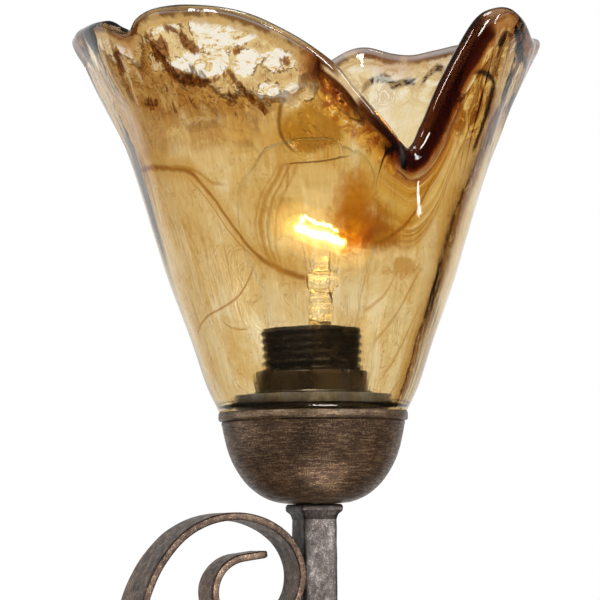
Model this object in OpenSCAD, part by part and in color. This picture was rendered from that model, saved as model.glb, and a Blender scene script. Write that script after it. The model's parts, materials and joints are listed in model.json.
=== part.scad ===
// Wall sconce: an upright blown-glass torch shade on a square post with a
// forged C-scroll, carried by a tubular arm from a round stepped wall plate.
// Frame: the wall is the plane y = 0 and the room is on the -Y side. +Z is up
// and the origin is the centre of the outlet-box screw pattern in the crossbar.

/* [Glass shade] */
// Wall thickness of the blown glass
glass_t = 4.0; // [3:0.1:5]
// Hole in the glass floor for the lamp holder
glass_hole_r = 21.2; // [20.6:0.1:23]
// Depth of the front pinch, where the rim folds inwards
pinch = 13; // [0:1:16]

/* [Cup] */
// Wall thickness of the spun cup
cup_t = 2.0; // [1.5:0.1:3]

/* [Lamp holder] */
// Crest radius of the outside thread
thread_r = 19.85; // [19.5:0.05:20]
// Pitch of the outside thread
thread_pitch = 3.1; // [2.9:0.05:3.15]
// Grip grooves round the shade ring
ring_grooves = 8; // [4:1:16]

/* [Post and arm] */
// Side of the square post
post_w = 14; // [12:0.5:16]
// Wall of the square post
post_t = 1.5; // [1:0.1:2]
// Outside diameter of the arm tube
arm_d = 12.7; // [11:0.1:14]

/* [Scroll] */
// Thickness of the flat bar
bar_t = 3.0; // [2:0.1:4]

/* [Wall plate] */
// Radius of the wall plate
plate_r = 63.5; // [62:0.5:68]
// Thickness of the spun plate
plate_t = 1.5; // [1:0.1:2]
// Distance of each mounting stud from the centre
stud_x = 52; // [51:0.5:53]

/* [Hidden] */
$fn = 64;
ZR = 115;        // height of the cup's rim
YP = -170;       // the post's axis
PHI = 67;        // turn of the glass about the post

bronze = [0.21, 0.16, 0.13];
amber = [0.80, 0.58, 0.27, 0.55];
steel = [0.72, 0.72, 0.74];
brass = [0.78, 0.62, 0.30];
phenolic = [0.05, 0.045, 0.04];

// Stands a shape on the post's axis, with z counted from the cup's rim.
module on_post() translate([0, YP, ZR]) children();
// Points a shape's +Z into the room.
module into_room() rotate([90, 0, 0]) children();
module ring(ri, ro, z0, z1) translate([0, 0, z0]) difference() {
  cylinder(r = ro, h = z1 - z0);
  translate([0, 0, -1]) cylinder(r = ri, h = z1 - z0 + 2);
}
module hex_nut(af, ri, z0, z1) translate([0, 0, z0]) difference() {
  cylinder(r = af / sqrt(3), h = z1 - z0, $fn = 6);
  translate([0, 0, -1]) cylinder(r = ri, h = z1 - z0 + 2);
}

// ---- wall side ----

plate_out = [[plate_r, 0], [plate_r, 2.5], [plate_r - 1, 6], [plate_r - 3, 9.5], [plate_r - 5.5, 12],
  [plate_r - 7, 13], [45.8, 13], [44.4, 13.4], [41, 15], [36, 18.6], [31, 22.2], [26, 24.4], [20, 25.4], [14, 25.5]];
function shrink(p) = [p[0] - plate_t, max(0, p[1] - plate_t)];
plate_in = [for (i = [len(plate_out) - 1:-1:0]) let (p = plate_out[i])
  i == 0 ? [p[0] - plate_t, 0] : i == 1 ? [p[0] - plate_t, p[1] - 0.6] :
  i > 6 && i < 12 ? [p[0] - 0.5 * plate_t, p[1] - plate_t] : shrink(p)];
module wall_plate() color(bronze) into_room() difference() {
  rotate_extrude($fn = 96) polygon(concat([[4.95, 25.5]], [for (i = [len(plate_out) - 1:-1:0]) plate_out[i]],
    [for (i = [len(plate_in) - 1:-1:0]) plate_in[i]], [[4.95, 25.5 - plate_t]]));
  for (s = [-1, 1]) translate([s * stud_x, 0, 5]) cylinder(r = 2.3, h = 14);
}
module crossbar() color(steel) into_room() difference() {
  translate([-58, -8, 0]) cube([116, 16, 2.5]);
  translate([0, 0, -1]) cylinder(r = 5, h = 5);
  for (s = [-1, 1]) {
    translate([s * stud_x, 0, -1]) cylinder(r = 2.03, h = 5);
    translate([s * 39.5 - 5.5, -2.5, -1]) cube([11, 5, 5]);
    for (e = [-5.5, 5.5]) translate([s * 39.5 + e, 0, -1]) cylinder(r = 2.5, h = 5);
  }
  translate([-18, 0, -1]) cylinder(r = 2, h = 5);
}
module mounting_studs() color(steel) into_room() for (s = [-1, 1])
  translate([s * stud_x, 0, 0]) { cylinder(r = 2.03, h = 20); translate([0, 0, 20]) cylinder(r1 = 2.03, r2 = 1.5, h = 0.5); }
module stud_locknuts() color(steel) into_room() for (s = [-1, 1]) translate([s * stud_x, 0, 0]) hex_nut(8, 2.03, 2.5, 5.6);
module trim_washer() into_room() translate([0, 0, 13]) rotate_extrude() polygon([[2.6, 0], [6, 0], [6, 0.5], [5.2, 1.2], [2.6, 1.2]]);
module trim_washer_left() color(bronze) translate([-stud_x, 0, 0]) trim_washer();
module trim_washer_right() color(bronze) translate([stud_x, 0, 0]) trim_washer();
module cap_nut() into_room() translate([0, 0, 14.2]) difference() {
  union() {
    cylinder(r = 5.4, h = 4, $fn = 6);
    translate([0, 0, 4]) rotate_extrude() polygon(concat([[0, 0], [4.4, 0], [4.4, 1]], [for (a = [10:10:90]) [4.4 * cos(a), 1 + 4.2 * sin(a)]]));
  }
  translate([0, 0, -1]) cylinder(r = 2.08, h = 7.6);
}
module cap_nut_left() color(bronze) translate([-stud_x, 0, 0]) cap_nut();
module cap_nut_right() color(bronze) translate([stud_x, 0, 0]) cap_nut();
module arm_flange() color(bronze) into_room() rotate_extrude() polygon([[arm_d / 2, 25.5], [12.5, 25.5], [12.5, 27],
  [11.4, 28.2], [9.4, 29], [8.4, 30.4], [8, 32.5], [arm_d / 2, 33]]);
module arm_nipple() color(steel) into_room() ring(3.6, 4.85, 18, 44);
module arm_locknut() color(steel) into_room() hex_nut(14, 4.85, 20, 24);
module arm_tube() color(bronze) into_room() ring(4.85, arm_d / 2, 25.5, -YP - post_w / 2);

// ---- post ----

post_top = -42.2;
post_bot = -164.1;
module post() color(bronze) on_post() difference() {
  translate([-post_w / 2, -post_w / 2, post_bot]) cube([post_w, post_w, post_top - post_bot]);
  translate([-post_w / 2 + post_t, -post_w / 2 + post_t, post_bot - 1]) cube([post_w - 2 * post_t, post_w - 2 * post_t, post_top - post_bot + 2]);
  translate([0, 0, -ZR]) rotate([-90, 0, 0]) cylinder(r = 4.85, h = 20);
}
module post_top_plug() color(steel) on_post() difference() {
  translate([-post_w / 2 + post_t, -post_w / 2 + post_t, post_top - 14]) cube([post_w - 2 * post_t, post_w - 2 * post_t, 14]);
  translate([0, 0, post_top - 15]) cylinder(r = 4.85, h = 16);
}
// Square lip with a hollow neck that runs down into the post.
module post_collar() color(bronze) on_post() difference() {
  union() {
    hull() {
      translate([-8.3, -8.3, -36.3]) cube([16.6, 16.6, 0.4]);
      translate([-8.8, -8.8, -38.2]) cube([17.6, 17.6, 1.4]);
      translate([-8.2, -8.2, -38.9]) cube([16.4, 16.4, 0.4]);
    }
    hull() {
      translate([-8.0, -8.0, -39.2]) cube([16, 16, 0.4]);
      translate([-7.2, -7.2, -40.6]) cube([14.4, 14.4, 0.4]);
      translate([-7, -7, post_top]) cube([14, 14, 0.2]);
    }
  }
  translate([0, 0, -43]) cylinder(r = 4.95, h = 8);
}
finial_pts = [[0, 0], [7.5, 0], [7.5, -2], [5, -3.2], [4, -4.6], [4.4, -6], [7.6, -8.4], [9, -11.4], [9, -14], [7.8, -17],
  [5.6, -19.2], [3.4, -20.6], [2.6, -22.4], [1.8, -24], [0, -24.6]];
module finial() color(bronze) on_post() translate([0, 0, post_bot - bar_t - 0.05]) rotate_extrude() polygon(finial_pts);

// ---- scroll: one flat bar bent to arcs of growing, then falling radius ----
// Each step is [radius, turn, rings, width at its end]; radius 0 is a straight.
bar_start = [-21.6, -55.2, 188, 15];
bar_steps = [[0, 10, 2, 15.5], [13.5, 85, 10, 16], [14.5, 90, 10, 16.2], [20.5, 90, 11, 16.8], [21.2, 45, 6, 18.5],
  [29.5, 45, 6, 20.5], [34, 45, 6, 23], [54, 35, 5, 26.5], [78, 57, 9, 30], [64, 40, 6, 30], [0, 25, 2, 28],
  [23.7, 90, 10, 24], [19.2, 90, 10, 20], [14.5, 90, 9, 17], [11, 80, 8, 15]];
function step_pts(p, s) = [for (k = [1:s[2]]) let (f = k / s[2], w = p[3] + (s[3] - p[3]) * f)
  s[0] == 0 ? [p[0] + cos(p[2]) * s[1] * f, p[1] + sin(p[2]) * s[1] * f, p[2], w] :
  let (t = p[2] + s[1] * f) [p[0] + s[0] * (sin(t) - sin(p[2])), p[1] + s[0] * (cos(p[2]) - cos(t)), t, w]];
function chain(steps, i, p) = i >= len(steps) ? [] :
  let (q = step_pts(p, steps[i])) concat(q, chain(steps, i + 1, q[len(q) - 1]));
// The curls are drawn out a little, away from where the bar meets the post.
bar_draw = 1.045;
bar_meet = -8.5;
bar_path = [for (p = concat([bar_start], chain(bar_steps, 0, bar_start))) [bar_meet + (p[0] - bar_meet) * bar_draw, p[1], p[2], p[3]]];
function bar_ring(p) = let (c = 0.5, w = p[3] / 2, d = bar_t / 2)
  [for (q = [[-w, -d + c], [-w + c, -d], [w - c, -d], [w, -d + c], [w, d - c], [w - c, d], [-w + c, d], [-w, d - c]])
    [q[0], p[0] - sin(p[2]) * q[1], p[1] + cos(p[2]) * q[1]]];
module tube_of(rings) {
  n = len(rings); m = len(rings[0]);
  polyhedron([for (r = rings) for (q = r) q],
    concat([[for (j = [0:m - 1]) j]], [[for (j = [m - 1:-1:0]) (n - 1) * m + j]],
      [for (i = [0:n - 2]) for (j = [0:m - 1]) [i * m + j, (i + 1) * m + j, (i + 1) * m + (j + 1) % m]],
      [for (i = [0:n - 2]) for (j = [0:m - 1]) [i * m + j, (i + 1) * m + (j + 1) % m, i * m + (j + 1) % m]]), convexity = 8);
}
module scroll() color(bronze) on_post() tube_of([for (p = bar_path) bar_ring(p)]);

// ---- cup and what it holds ----

cup_out = [[8.4, -35.9], [14.6, -35.2], [20.2, -33.0], [24.8, -29.6], [28.2, -25.8], [31.6, -20.2], [33.8, -14.6],
  [35.15, -9.1], [35.9, -5.2], [36.2, -4.1], [36.8, -3.6], [36.9, -3.1], [37.3, -2.8], [37.3, -0.2], [37.1, 0]];
module cup() color(bronze) on_post() rotate_extrude($fn = 96) polygon(concat([[4.95, -35.9]], cup_out,
  [[35.4, 0], [35.1, -0.3], [35.1, -4.6], [33.2, -4.6]],
  [for (i = [6:-1:1]) [cup_out[i][0] - cup_t, i == 1 ? -33.4 : cup_out[i][1] + 0.5 * cup_t * (7 - i) / 3.2]], [[4.95, -33.4]]));
module riser_nipple() color(steel) on_post() ring(3.6, 4.85, post_top - 13, -21);
module lock_washer() color(steel) on_post() ring(4.95, 8.6, -33.4, -32.4);
module riser_nut() color(steel) on_post() hex_nut(14, 4.85, -32.4, -28.6);
module holder_cap() color(phenolic) on_post() rotate_extrude() polygon([[4.85, -28.6], [13, -28.6], [17, -27], [19, -24], [19, -20],
  [16.2, -20], [16.2, -22], [14, -24.4], [4.85, -24.4]]);
function thread_pts(z0, z1, n) = [for (i = [0:n - 1]) let (z = z0 + (z1 - z0) * i / n, p = (z1 - z0) / n)
  for (q = [[thread_r - 1.3, 0.1], [thread_r - 1.25, 0.25], [thread_r - 0.1, 0.36], [thread_r, 0.5], [thread_r, 0.62], [thread_r - 0.1, 0.74], [thread_r - 1.25, 0.9]])
    [q[0], z + q[1] * p]];
module holder_body() color(phenolic) on_post() difference() {
  rotate_extrude($fn = 96) polygon(concat([[16.4, -20], [19, -20], [19, -7], [23.5, -6], [23.5, -4.6], [18.6, -4.6]],
    thread_pts(33.2 - 12 * thread_pitch, 33.2, 12), [[18.6, 33.2], [18.3, 33.5], [16.9, 33.5], [14.2, 29.5], [14.2, 2], [1.2, 2], [1.2, -3], [15.4, -3], [15.4, -20]]));
  for (s = [-1, 1]) translate([s * 9, 0, -4]) cylinder(r = 1.6, h = 7, $fn = 32);
}
module screw_shell() color(brass) on_post() {
  rotate_extrude() polygon(concat([[8.6, 2], [12.4, 2], [14.15, 4.4], [14.15, 28.5], [14.15, 29.2], [13.6, 29.2]],
    [for (i = [5:-1:0]) for (q = [[13.6, 0.9], [13.32, 0.7], [13.32, 0.6], [13.6, 0.4]]) [q[0], 5.6 + 3.63 * i + 3.63 * q[1]]], [[13.4, 5], [11.9, 2.7], [8.6, 2.7]]));
}
module center_contact() color(brass) on_post() {
  translate([-1.6, -3.2, 2]) cube([3.2, 6.4, 0.8]);
  translate([-1.6, 1.4, 2.8]) cube([3.2, 1.8, 1.0]);
  translate([-1.6, -2.2, 3.8]) cube([3.2, 5.4, 0.7]);
}
module contact_insulator() color([0.85, 0.82, 0.75]) on_post() ring(4.4, 8.4, 2, 3.4);
module terminal_screws() color(brass) on_post() for (s = [-1, 1]) translate([s * 9, 0, 0]) {
  translate([0, 0, -6.2]) cylinder(r = 3.2, h = 2.2);
  translate([0, 0, -4]) cylinder(r = 1.6, h = 6, $fn = 32);
}
module seat_plate() color(steel) on_post() ring(20.2, 34.9, -4.6, -3.6);
module glass_gasket() color([0.06, 0.06, 0.06]) on_post() ring(23, 33, -3.6, -3.0);
module cushion_ring() color([0.06, 0.06, 0.06]) on_post() ring(20.6, 30.4, 0.8, 2.8);
module shade_disc() color(phenolic) on_post() rotate_extrude($fn = 96) polygon([[20.1, 2.8], [30.8, 2.8], [31.2, 3.4], [31.2, 6.6], [30.6, 7.2],
  [24, 7.3], [20.1, 7.3]]);
module shade_ring() color(phenolic) on_post() difference() {
  rotate_extrude($fn = 96) polygon([[19.92, 7.3], [23.6, 7.3], [23.6, 8.1], [22.3, 8.6], [22.3, 15.8], [21.8, 16.3], [19.92, 16.3]]);
  for (i = [0:ring_grooves - 1]) rotate([0, 0, i * 360 / ring_grooves + 20]) translate([21.3, -1, 8.8]) cube([3, 2, 9]);
}

// ---- blown glass: a flared cone with a wavy rim and one deep folded pinch ----
// Outside radius against height above the cup's rim.
flare = [[0, 36.9], [7, 40.2], [17, 44.1], [29, 48], [39, 51.7], [53, 56.8], [66, 60.8], [75, 63.6], [83, 66], [100, 71.6], [118, 78.5], [133, 85.5], [143, 90], [150, 92.5], [160, 95]];
// Height of the rim against the angle round the shade.
rim = [[0, 148], [30, 153], [48, 157], [60, 155], [76, 160], [88, 150], [98, 141], [106, 143], [121, 146], [134, 151], [152, 152], [182, 151.5],
  [206, 150], [214, 147], [220, 142], [226, 146], [240, 147], [250, 145], [262, 138], [272, 130], [282, 119], [292, 108], [302, 101], [311, 98.5],
  [315, 103], [319, 132], [324, 148], [330, 151], [340, 148], [352, 146], [360, 148]];
pinch_at = 312;
function off(a) = ((a - pinch_at + 540) % 360) - 180;
function g_r(a, h) = lookup(h, flare) - pinch * exp(-pow(off(a) / 15, 2)) * pow(min(1, max(0, h) / 105), 2.5);
g_cols = concat([for (a = [0:8:272]) a], [278, 284, 290, 296, 302, 307, 311, 315, 317, 319, 321, 324, 329, 336, 344, 352]);
g_rows = 9;
function g_loop(a) = let (H = lookup(a, rim), t = glass_t * 1.07)
  concat([[glass_hole_r, -3], [33.6, -3], [34.4, -2.2], [34.8, -0.3], [36.6, 0.8]],
    [for (i = [1:g_rows]) let (h = 0.8 + (H - 3.8) * i / g_rows) [g_r(a, h), h]],
    [[g_r(a, H - 1) + 1.2, H - 1.2], [g_r(a, H) - 2.4, H], [g_r(a, H - 1) - 5.6, H - 1.2]],
    [for (i = [g_rows:-1:1]) let (h = 0.8 + (H - 3.8) * i / g_rows) [g_r(a, h) - t - (i == g_rows ? 0.8 : 0), h]],
    [[32.4, 2.0], [31.6, 0.8], [glass_hole_r, 0.8]]);
module glass_shade() color(amber) on_post() {
  loops = [for (a = g_cols) g_loop(a)];
  n = len(loops); m = len(loops[0]);
  polyhedron([for (i = [0:n - 1]) for (p = loops[i]) [p[0] * cos(g_cols[i] + PHI), p[0] * sin(g_cols[i] + PHI), p[1]]],
    concat([for (i = [0:n - 1]) for (j = [0:m - 1]) let (k = (i + 1) % n, l = (j + 1) % m) [i * m + j, k * m + l, k * m + j]],
      [for (i = [0:n - 1]) for (j = [0:m - 1]) let (k = (i + 1) % n, l = (j + 1) % m) [i * m + j, i * m + l, k * m + l]]), convexity = 6);
}

// ---- bulb ----

module bulb_contact() color([0.75, 0.74, 0.72]) on_post() translate([0, 0, 4.5]) rotate_extrude() polygon([[0, 0], [3, 0.3], [4.4, 1.4], [4.4, 2.0], [0, 2.0]]);
module bulb_insulator() color(phenolic) on_post() rotate_extrude() polygon([[0, 6.5], [4.4, 6.5], [5.4, 6.3], [11.5, 9], [11.5, 10], [0, 10]]);
module bulb_base() color([0.80, 0.78, 0.70]) on_post() rotate_extrude() polygon(concat([[0, 10], [11.5, 10], [12.6, 11]],
  [for (i = [0:3]) for (q = [[12.5, 0.1], [13.25, 0.4], [13.25, 0.6], [12.5, 0.9]]) [q[0], 11.4 + 3.63 * i + 3.63 * q[1]]],
  [[12.9, 26.6], [12.9, 31], [12.4, 31], [12.4, 12], [0, 12]]));
bulb_pts = [[12.35, 27], [12.35, 31.1], [12.9, 31.3], [14.2, 32.6], [15.5, 34.2], [16.1, 36], [17.1, 42], [18.6, 48], [21.2, 54], [24.6, 60], [27.6, 66], [29.5, 73],
  [30, 80], [29.2, 87.5], [26.8, 94.5], [22.6, 100.5], [17, 105.2], [10, 108.4], [4, 109.4], [0, 109.5]];
module bulb_glass() color([0.9, 0.9, 0.85, 0.3]) on_post() rotate_extrude($fn = 72) polygon(concat(bulb_pts,
  [[0, 108.6], [4, 108.5]], [for (i = [16:-1:4]) [bulb_pts[i][0] - 0.9, bulb_pts[i][1] - 0.1]], [[13.3, 32.8], [11.9, 31], [11.5, 27]]));
module bulb_stem() color([0.9, 0.9, 0.85, 0.4]) on_post() rotate_extrude() polygon([[0, 27], [11.45, 27], [11.3, 28.4], [8, 31], [5.2, 35], [4.4, 40],
  [4.2, 48], [4.6, 51], [6.6, 53], [6.9, 54.6], [6, 55.6], [2, 56], [1.5, 58], [1.5, 60.4], [2.1, 61.2], [1.4, 62.2], [0, 62.4]]);
// The coil runs between two lead posts, over one centre support.
fil_dir = 67;
fil_p = [[-10.3, -1, 72.6], [10.3, -1, 66.8]];
module rod_between(a, b, r) {
  d = b - a; L = norm(d);
  translate(a) rotate([0, acos(d[2] / L), atan2(d[1], d[0])]) cylinder(r = r, h = L, $fn = 24);
}
module filament() color([1, 0.85, 0.5]) on_post() rotate([0, 0, fil_dir]) rod_between(fil_p[0], fil_p[1], 0.55);
module filament_supports() color([0.4, 0.36, 0.33]) on_post() rotate([0, 0, fil_dir]) {
  for (s = [-1, 1]) let (p = fil_p[s < 0 ? 0 : 1]) difference() {
    rod_between([s * 4.6, -1, 55.85], p, 0.35);
    rod_between(fil_p[0], fil_p[1], 0.56);
  }
  difference() { translate([0, -1.0, 62.3]) cylinder(r = 0.3, h = 8, $fn = 24); rod_between(fil_p[0], fil_p[1], 0.56); }
}

// ---- wires, laid from the lamp holder through the post and the arm ----

wire_r = 1.1;
function unit(v) = v / norm(v);
// Rounds each corner of a route with two points.
function soften(p) = concat([p[0]], [for (i = [1:len(p) - 2]) for (q = [p[i - 1], p[i + 1]])
  p[i] + unit(q - p[i]) * min(1.2, norm(q - p[i]) / 3)], [p[len(p) - 1]]);
module run(pts, r, ref) {
  p = soften(soften(pts)); n = len(p);
  tube_of([for (i = [0:n - 1]) let (t = unit(unit(p[min(n - 1, i + 1)] - p[max(0, i - 1)])), a = unit(cross(t, ref)), b = cross(t, a))
    [for (k = [0:9]) p[i] + r * (cos(k * 36) * a + sin(k * 36) * b)]]);
}
module lead(s) run([[s * 9, YP, ZR - 6.2], [s * 9, YP, ZR - 11.5], [s * 1.5, YP, ZR - 18.5], [s * 1.5, YP, 2.5],
  [s * 1.5, YP + 2.5, 0], [s * 1.5, -16.5, 0], [s * 4.5, -13.5, 0], [s * 16.5, -13.5, 0]], wire_r, [-s, 1, 1]);
module wire_hot() color([0.05, 0.05, 0.05]) lead(1);
module wire_neutral() color([0.9, 0.9, 0.88]) lead(-1);
module wire_nuts() color([0.85, 0.35, 0.10]) for (s = [-1, 1]) translate([s * 16.5, -13.5, 0]) rotate([0, s * 90, 0])
  rotate_extrude() polygon([[0, 0], [4.8, 0], [5.6, 2], [4.2, 12], [3.2, 14.4], [0, 15]]);
module ground_screw() color([0.15, 0.45, 0.2]) into_room() translate([-18, 0, 0]) { cylinder(r = 2, h = 2.5); translate([0, 0, 2.5]) cylinder(r = 4, h = 2); }
module ground_wire() color([0.25, 0.55, 0.25]) run([[-18, -5.5, 0], [-13, -8, 5], [-9, -14, 6.5], [-6, -19.5, 3.5]], 0.9, [1, 1, 1]);

wall_plate();
crossbar();
mounting_studs();
stud_locknuts();
trim_washer_left();
trim_washer_right();
cap_nut_left();
cap_nut_right();
arm_flange();
arm_nipple();
arm_locknut();
arm_tube();
post();
post_top_plug();
post_collar();
scroll();
finial();
cup();
riser_nipple();
lock_washer();
riser_nut();
holder_cap();
holder_body();
screw_shell();
center_contact();
contact_insulator();
terminal_screws();
seat_plate();
glass_gasket();
glass_shade();
cushion_ring();
shade_disc();
shade_ring();
bulb_contact();
bulb_insulator();
bulb_base();
bulb_glass();
bulb_stem();
filament();
filament_supports();
wire_hot();
wire_neutral();
ground_wire();
ground_screw();
wire_nuts();
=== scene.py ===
import json
import math

import bmesh
import bpy
import numpy as np
from mathutils import Matrix, Vector, noise

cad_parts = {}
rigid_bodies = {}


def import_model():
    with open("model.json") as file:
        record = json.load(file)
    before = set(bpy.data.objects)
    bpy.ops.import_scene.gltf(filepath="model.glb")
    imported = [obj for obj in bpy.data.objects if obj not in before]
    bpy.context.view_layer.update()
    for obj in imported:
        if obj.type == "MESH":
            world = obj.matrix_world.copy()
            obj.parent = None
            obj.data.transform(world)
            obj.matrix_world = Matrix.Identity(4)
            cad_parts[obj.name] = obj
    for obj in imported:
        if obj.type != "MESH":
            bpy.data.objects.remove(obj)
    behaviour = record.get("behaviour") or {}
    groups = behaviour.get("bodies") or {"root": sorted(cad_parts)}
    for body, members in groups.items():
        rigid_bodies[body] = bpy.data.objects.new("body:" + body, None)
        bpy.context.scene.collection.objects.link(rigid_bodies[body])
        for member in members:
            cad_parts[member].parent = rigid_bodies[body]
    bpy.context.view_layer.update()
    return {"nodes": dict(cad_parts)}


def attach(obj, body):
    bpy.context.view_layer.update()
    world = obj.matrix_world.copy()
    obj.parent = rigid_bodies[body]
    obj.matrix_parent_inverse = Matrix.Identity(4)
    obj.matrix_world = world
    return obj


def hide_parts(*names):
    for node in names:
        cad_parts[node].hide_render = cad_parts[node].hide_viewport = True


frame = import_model()
nodes = frame["nodes"]

MM = 0.001
ZR, YP = 0.115, -0.170      # cup rim height and post axis, in metres
PHI = 67.0                  # turn of the glass about the post


# ------------------------------------------------------------------ camera
def camera():
    th, aim, dist = math.radians(23.0), math.radians(-0.234), 1.150
    cam = bpy.data.cameras.new("camera")
    cam.sensor_fit = "HORIZONTAL"
    cam.sensor_width = 36.0
    f_px = 2.54 * 1150.0
    cam.lens = f_px * 36.0 / 600.0
    cam.clip_start, cam.clip_end = 0.05, 50.0
    ob = bpy.data.objects.new("camera", cam)
    bpy.context.scene.collection.objects.link(ob)
    pitch, roll = math.atan(240.0 / f_px), math.radians(0.6)
    fwd = Vector((-math.cos(th + aim), math.sin(th + aim), 0.0))
    right = Vector((fwd.y, -fwd.x, 0.0))
    up = Vector((0, 0, 1))
    f2 = fwd * math.cos(pitch) + up * math.sin(pitch)
    u2 = right.cross(f2)
    r3 = right * math.cos(roll) - u2 * math.sin(roll)
    u3 = right * math.sin(roll) + u2 * math.cos(roll)
    m = Matrix((r3, u3, -f2)).transposed().to_4x4()
    m.translation = Vector((dist * math.cos(th), YP - dist * math.sin(th), ZR - 0.050))
    ob.matrix_world = m
    bpy.context.scene.camera = ob
    return ob


camera()


# ------------------------------------------------------------------ node helpers
class Nodes:
    """Small helper that adds nodes to one material or world tree."""

    def __init__(self, tree):
        self.t = tree
        self.t.nodes.clear()

    def add(self, kind, **props):
        n = self.t.nodes.new(kind)
        for k, v in props.items():
            setattr(n, k, v)
        return n

    def link(self, a, b):
        self.t.links.new(a, b)

    def put(self, socket, v):
        if isinstance(v, bpy.types.NodeSocket):
            self.link(v, socket)
        elif v is not None:
            socket.default_value = v

    def coord(self, which="Object"):
        return self.add("ShaderNodeTexCoord").outputs[which]

    def attr(self, name, out="Fac"):
        return self.add("ShaderNodeAttribute", attribute_name=name).outputs[out]

    def mapping(self, vec, scale=(1, 1, 1), rot=(0, 0, 0), loc=(0, 0, 0)):
        n = self.add("ShaderNodeMapping")
        self.put(n.inputs["Vector"], vec)
        n.inputs["Scale"].default_value = scale
        n.inputs["Rotation"].default_value = rot
        n.inputs["Location"].default_value = loc
        return n.outputs[0]

    def noise(self, vec, scale, detail=4.0, rough=0.55, distort=0.0, out="Fac"):
        n = self.add("ShaderNodeTexNoise")
        self.put(n.inputs["Vector"], vec)
        n.inputs["Scale"].default_value = scale
        n.inputs["Detail"].default_value = detail
        n.inputs["Roughness"].default_value = rough
        n.inputs["Distortion"].default_value = distort
        return n.outputs[out]

    def voronoi(self, vec, scale, feature="F1", out="Distance", rand=1.0):
        n = self.add("ShaderNodeTexVoronoi", feature=feature)
        self.put(n.inputs["Vector"], vec)
        n.inputs["Scale"].default_value = scale
        n.inputs["Randomness"].default_value = rand
        return n.outputs[out]

    def ramp(self, fac, *stops, interp="LINEAR"):
        n = self.add("ShaderNodeValToRGB")
        self.put(n.inputs["Fac"], fac)
        r = n.color_ramp
        r.interpolation = interp
        while len(r.elements) > len(stops):
            r.elements.remove(r.elements[-1])
        while len(r.elements) < len(stops):
            r.elements.new(0.5)
        for e, (p, c) in zip(r.elements, stops):
            e.position = p
            e.color = (c, c, c, 1) if isinstance(c, (int, float)) else (*c, 1)
        return n.outputs["Color"]

    def span(self, v, a, b, lo=0.0, hi=1.0, smooth=True):
        n = self.add("ShaderNodeMapRange", interpolation_type="SMOOTHSTEP" if smooth else "LINEAR")
        self.put(n.inputs["Value"], v)
        for k, x in zip(("From Min", "From Max", "To Min", "To Max"), (a, b, lo, hi)):
            self.put(n.inputs[k], x)
        return n.outputs["Result"]

    def math(self, op, a, b=0.0, c=0.0, clamp=False):
        n = self.add("ShaderNodeMath", operation=op, use_clamp=clamp)
        for s, v in zip(n.inputs, (a, b, c)):
            self.put(s, v)
        return n.outputs[0]

    def mix(self, fac, a, b, blend="MIX"):
        n = self.add("ShaderNodeMix", data_type="RGBA", blend_type=blend)
        self.put(n.inputs["Factor"], fac)
        for k, v in ((6, a), (7, b)):
            if isinstance(v, tuple) and len(v) == 3:
                v = (*v, 1)
            self.put(n.inputs[k], v)
        return n.outputs[2]

    def bump(self, height, strength, dist, normal=None):
        n = self.add("ShaderNodeBump")
        self.put(n.inputs["Height"], height)
        n.inputs["Strength"].default_value = strength
        n.inputs["Distance"].default_value = dist
        self.put(n.inputs["Normal"], normal)
        return n.outputs[0]

    def xyz(self, vec):
        n = self.add("ShaderNodeSeparateXYZ")
        self.put(n.inputs[0], vec)
        return n.outputs

    def join(self, x, y, z):
        n = self.add("ShaderNodeCombineXYZ")
        for s, v in zip(n.inputs, (x, y, z)):
            self.put(s, v)
        return n.outputs[0]

    def curve(self, v, pts):
        """Float curve through pts, each (x, y) in 0..1."""
        n = self.add("ShaderNodeFloatCurve")
        self.put(n.inputs["Value"], v)
        c = n.mapping.curves[0]
        while len(c.points) > 2:
            c.points.remove(c.points[-1])
        c.points[0].location = pts[0]
        c.points[1].location = pts[-1]
        for p in pts[1:-1]:
            c.points.new(*p)
        n.mapping.update()
        return n.outputs[0]


def principled(name, **consts):
    m = bpy.data.materials.new(name)
    m.use_nodes = True
    n = Nodes(m.node_tree)
    b = n.add("ShaderNodeBsdfPrincipled")
    o = n.add("ShaderNodeOutputMaterial")
    n.link(b.outputs[0], o.inputs["Surface"])
    for k, v in consts.items():
        b.inputs[k.replace("_", " ")].default_value = v
    return m, n, b


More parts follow.
